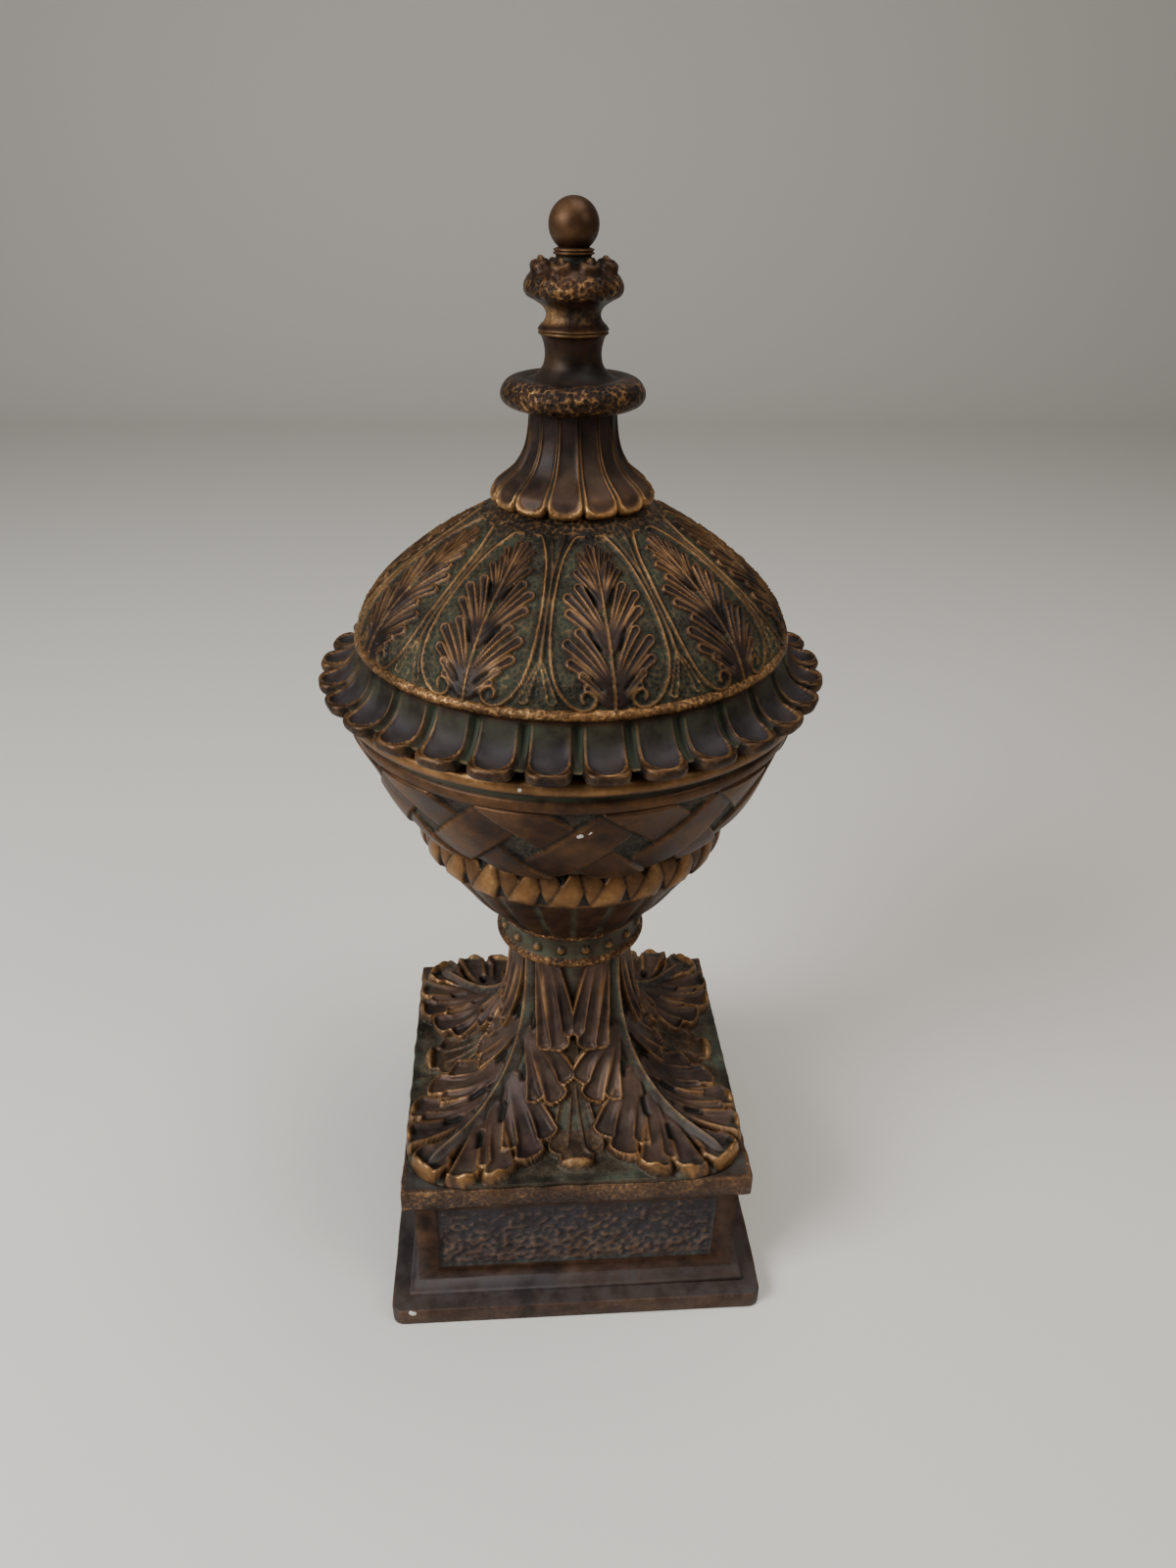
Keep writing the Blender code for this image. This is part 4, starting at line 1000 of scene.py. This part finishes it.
def makeDie(paint):
    def squared(items, half, z):
        for point in (item for item in items if isinstance(item, bmesh.types.BMVert)):
            point.co = Vector((math.copysign(half, point.co.x), math.copysign(half, point.co.y), z)) * mm

    bm = bmesh.new()
    ring = bmesh.ops.create_circle(bm, cap_ends=True, segments=4, radius=1)["verts"]
    bmesh.ops.transform(bm, matrix=Matrix.Rotation(math.pi / 4, 4, 'Z'), verts=ring)
    squared(ring, *plinth["outline"][0])
    bottom = top = list(bm.faces)
    for half, z in plinth["outline"][1:]:
        grown = bmesh.ops.extrude_face_region(bm, geom=top)["geom"]
        if top != bottom:
            bmesh.ops.delete(bm, geom=top, context='FACES_ONLY')
        top = [item for item in grown if isinstance(item, bmesh.types.BMFace)]
        squared(grown, half, z)
    bmesh.ops.recalc_face_normals(bm, faces=bm.faces)

    # A recessed panel in each side, with a deeper rail above it
    sides = [face for face in bm.faces if abs(face.normal.z) < 0.1 and face.calc_area() > 2000 * mm * mm]
    bmesh.ops.inset_individual(bm, faces=sides, thickness=plinth["rail"] * mm)
    lower = (plinth["topRail"] - plinth["rail"]) * mm
    half = (plinth["dieTop"] - plinth["stile"]) * mm
    for face in sides:
        middle = face.calc_center_median().z
        for point in face.verts:
            point.co.z -= lower if point.co.z > middle else 0
            if abs(face.normal.x) > 0.5:
                point.co.y = math.copysign(half, point.co.y)
            else:
                point.co.x = math.copysign(half, point.co.x)
    bmesh.ops.inset_individual(bm, faces=sides, thickness=plinth["panelEdge"] * mm,
                               depth=-plinth["recess"] * mm)
    edges = {edge for face in sides for edge in face.edges}
    bmesh.ops.subdivide_edges(bm, edges=[edge for edge in bm.edges if edge in edges and climb(edge) < 1],
                              cuts=plinth["acrossCuts"], use_grid_fill=True)
    upright = [edge for edge in bm.edges if edge.calc_length() > 30 * mm and climb(edge) > 25
               and reachOf(edge.verts[0]) < plinth["die"] - 1.2]
    bmesh.ops.subdivide_edges(bm, edges=upright, cuts=plinth["upCuts"], use_grid_fill=True)
    marked = bm.verts.layers.float.new("panel")
    dented = [point for point in bm.verts if reachOf(point) < plinth["die"] - 1.6
              and plinth["dieLow"] + 8 < point.co.z / mm < plinth["dieHigh"] - 11]
    roughen(bm, dented, *plinth["panelDents"])
    for point in dented:
        point[marked] = 1

    piece = pieceOf("die", bm)
    panel = np.empty(len(piece.data.vertices))
    piece.data.attributes["panel"].data.foreach_get("value", panel)
    spot = readPlaces(piece.data) / mm
    near, far = np.sort(np.abs(spot[:, :2]), axis=1).T
    fillet = step(plinth["dieLow"] + 1, plinth["dieLow"] - 1, spot[:, 2])
    corner = step(plinth["dieTop"] - 2.5, plinth["dieTop"] - 0.5, near)
    border = panel * np.maximum(step(77, 80, near), step(31, 28, spot[:, 2]))
    peaks = np.clip((far - plinth["dieTop"] + plinth["recess"]) * 1.6 - 0.35, 0, 1) * panel
    # Painted shade over the recessed dented panels, away from their peaks
    finishPiece(piece, paint, "urn_body", rough=0.35 * panel, tone=1.2 * panel + 0.9 * fillet,
                gold=0.26 * peaks * (1 - border) + 0.10 * corner + 0.03 * (1 - panel) * (1 - fillet),
                green=0.15 * fillet + 0.6 * border, raised=0, hollow=0, deep=0.35 * panel * (1 - peaks))


def makeCornice(paint):
    bm = blockOf(plinth["cornice"], plinth["dieHigh"], plinth["top"])
    rounded(bm, list(bm.edges), plinth["corniceEdge"], 2)
    cutLong(bm, plinth["corniceCuts"])
    roughen(bm, bm.verts, *plinth["corniceDents"])
    piece = pieceOf("cornice", bm)
    spot = readPlaces(piece.data) / mm
    side = step(95, 97, np.abs(spot[:, :2]).max(1))
    upper = side * step(96.0, 98.4, spot[:, 2])
    finishPiece(piece, paint, "urn_body", rough=0.6 * side, tone=0.6 - 0.15 * side,
                gold=0.10 * side + 0.2 * upper, green=0.4 * (1 - side), raised=0, hollow=0)


def pieceOf(name, bm):
    bmesh.ops.recalc_face_normals(bm, faces=bm.faces)
    mesh = bpy.data.meshes.new(name)
    bm.to_mesh(mesh)
    bm.free()
    return placed(name, mesh)


# The room

room = {
    "floor": 3.6, "back": 3.2, "high": 3.0, "bend": 0.8, "pale": (0.66, 0.63, 0.58, 1), "roughness": 0.7,
    "camera": (-0.0284, -0.5133, 0.5918), "look": (0.0637, 0.8672, -0.4939), "roll": 0.83, "lens": 25.09,
    "lights": [("window_left", (-1.5, -0.9, 1.4), 1.0, 58, (0.95, 0.98, 1.0)),
               ("window_right", (1.5, -1.1, 1.6), 0.9, 13, (1.0, 0.96, 0.90)),
               ("overhead", (0.3, -0.1, 2.0), 1.0, 20, (1.0, 0.98, 0.95))],
    "aim": (0, 0, 0.25), "world": (0.80, 0.80, 0.78, 1), "worldStrength": 0.21,
}


def makeRoom():
    bm = bmesh.new()
    bmesh.ops.create_grid(bm, x_segments=1, y_segments=1, size=room["floor"])
    far = [edge for edge in bm.edges if all(point.co.y > 0 for point in edge.verts)]
    for edge in far:
        for point in edge.verts:
            point.co.y = room["back"]
    grown = bmesh.ops.extrude_edge_only(bm, edges=far)["geom"]
    bmesh.ops.translate(bm, verts=[item for item in grown if isinstance(item, bmesh.types.BMVert)],
                        vec=(0, 0, room["high"]))
    corner = [edge for edge in bm.edges
              if all(abs(point.co.z) < mm and point.co.y > 0 for point in edge.verts)]
    bmesh.ops.bevel(bm, geom=corner, offset=room["bend"], segments=16, profile=0.5, material=-1,
                    affect='EDGES')
    floor = pieceOf("floor", bm)
    floor.data.shade_smooth()
    pale = bpy.data.materials.new("pale_floor")
    pale.use_nodes = True
    pale.node_tree.nodes["Principled BSDF"].inputs["Base Color"].default_value = room["pale"]
    pale.node_tree.nodes["Principled BSDF"].inputs["Roughness"].default_value = room["roughness"]
    floor.data.materials.append(pale)

    for name, place, size, power, colour in room["lights"]:
        light = bpy.data.lights.new(name, 'AREA')
        light.size = size
        light.energy = power
        light.color = colour
        lamp = placed(name, light)
        lamp.location = place
        lamp.rotation_euler = (Vector(room["aim"]) - Vector(place)).to_track_quat('-Z', 'Y').to_euler()
    world = bpy.data.worlds.new("room")
    world.use_nodes = True
    world.node_tree.nodes["Background"].inputs["Color"].default_value = room["world"]
    world.node_tree.nodes["Background"].inputs["Strength"].default_value = room["worldStrength"]
    bpy.context.scene.world = world

    camera = bpy.data.cameras.new("camera")
    camera.lens = room["lens"]
    camera.sensor_width = 36
    camera.sensor_fit = 'AUTO'
    camera.clip_start = 0.01
    view = placed("camera", camera)
    view.location = room["camera"]
    look = Vector(room["look"]).to_track_quat('-Z', 'Y')
    view.rotation_euler = (look.to_matrix() @ Matrix.Rotation(math.radians(room["roll"]), 3, 'Z')).to_euler()
    bpy.context.scene.camera = view


paints = {name: bronzePaint(name, **changes) for name, changes in finishes.items()}
for make in (makeFinial, makePetals, makeDome, makeRim):
    make(paints["lid_bronze"])
for make in (makeMouth, makeWeave, makeBraid, makeFlutes, makeCollar):
    make(paints["body_bronze"])
makeFoot(paints["foot_bronze"])
for make in (makeSlab, makeDie, makeCornice):
    make(paints["plinth_bronze"])
makeRoom()
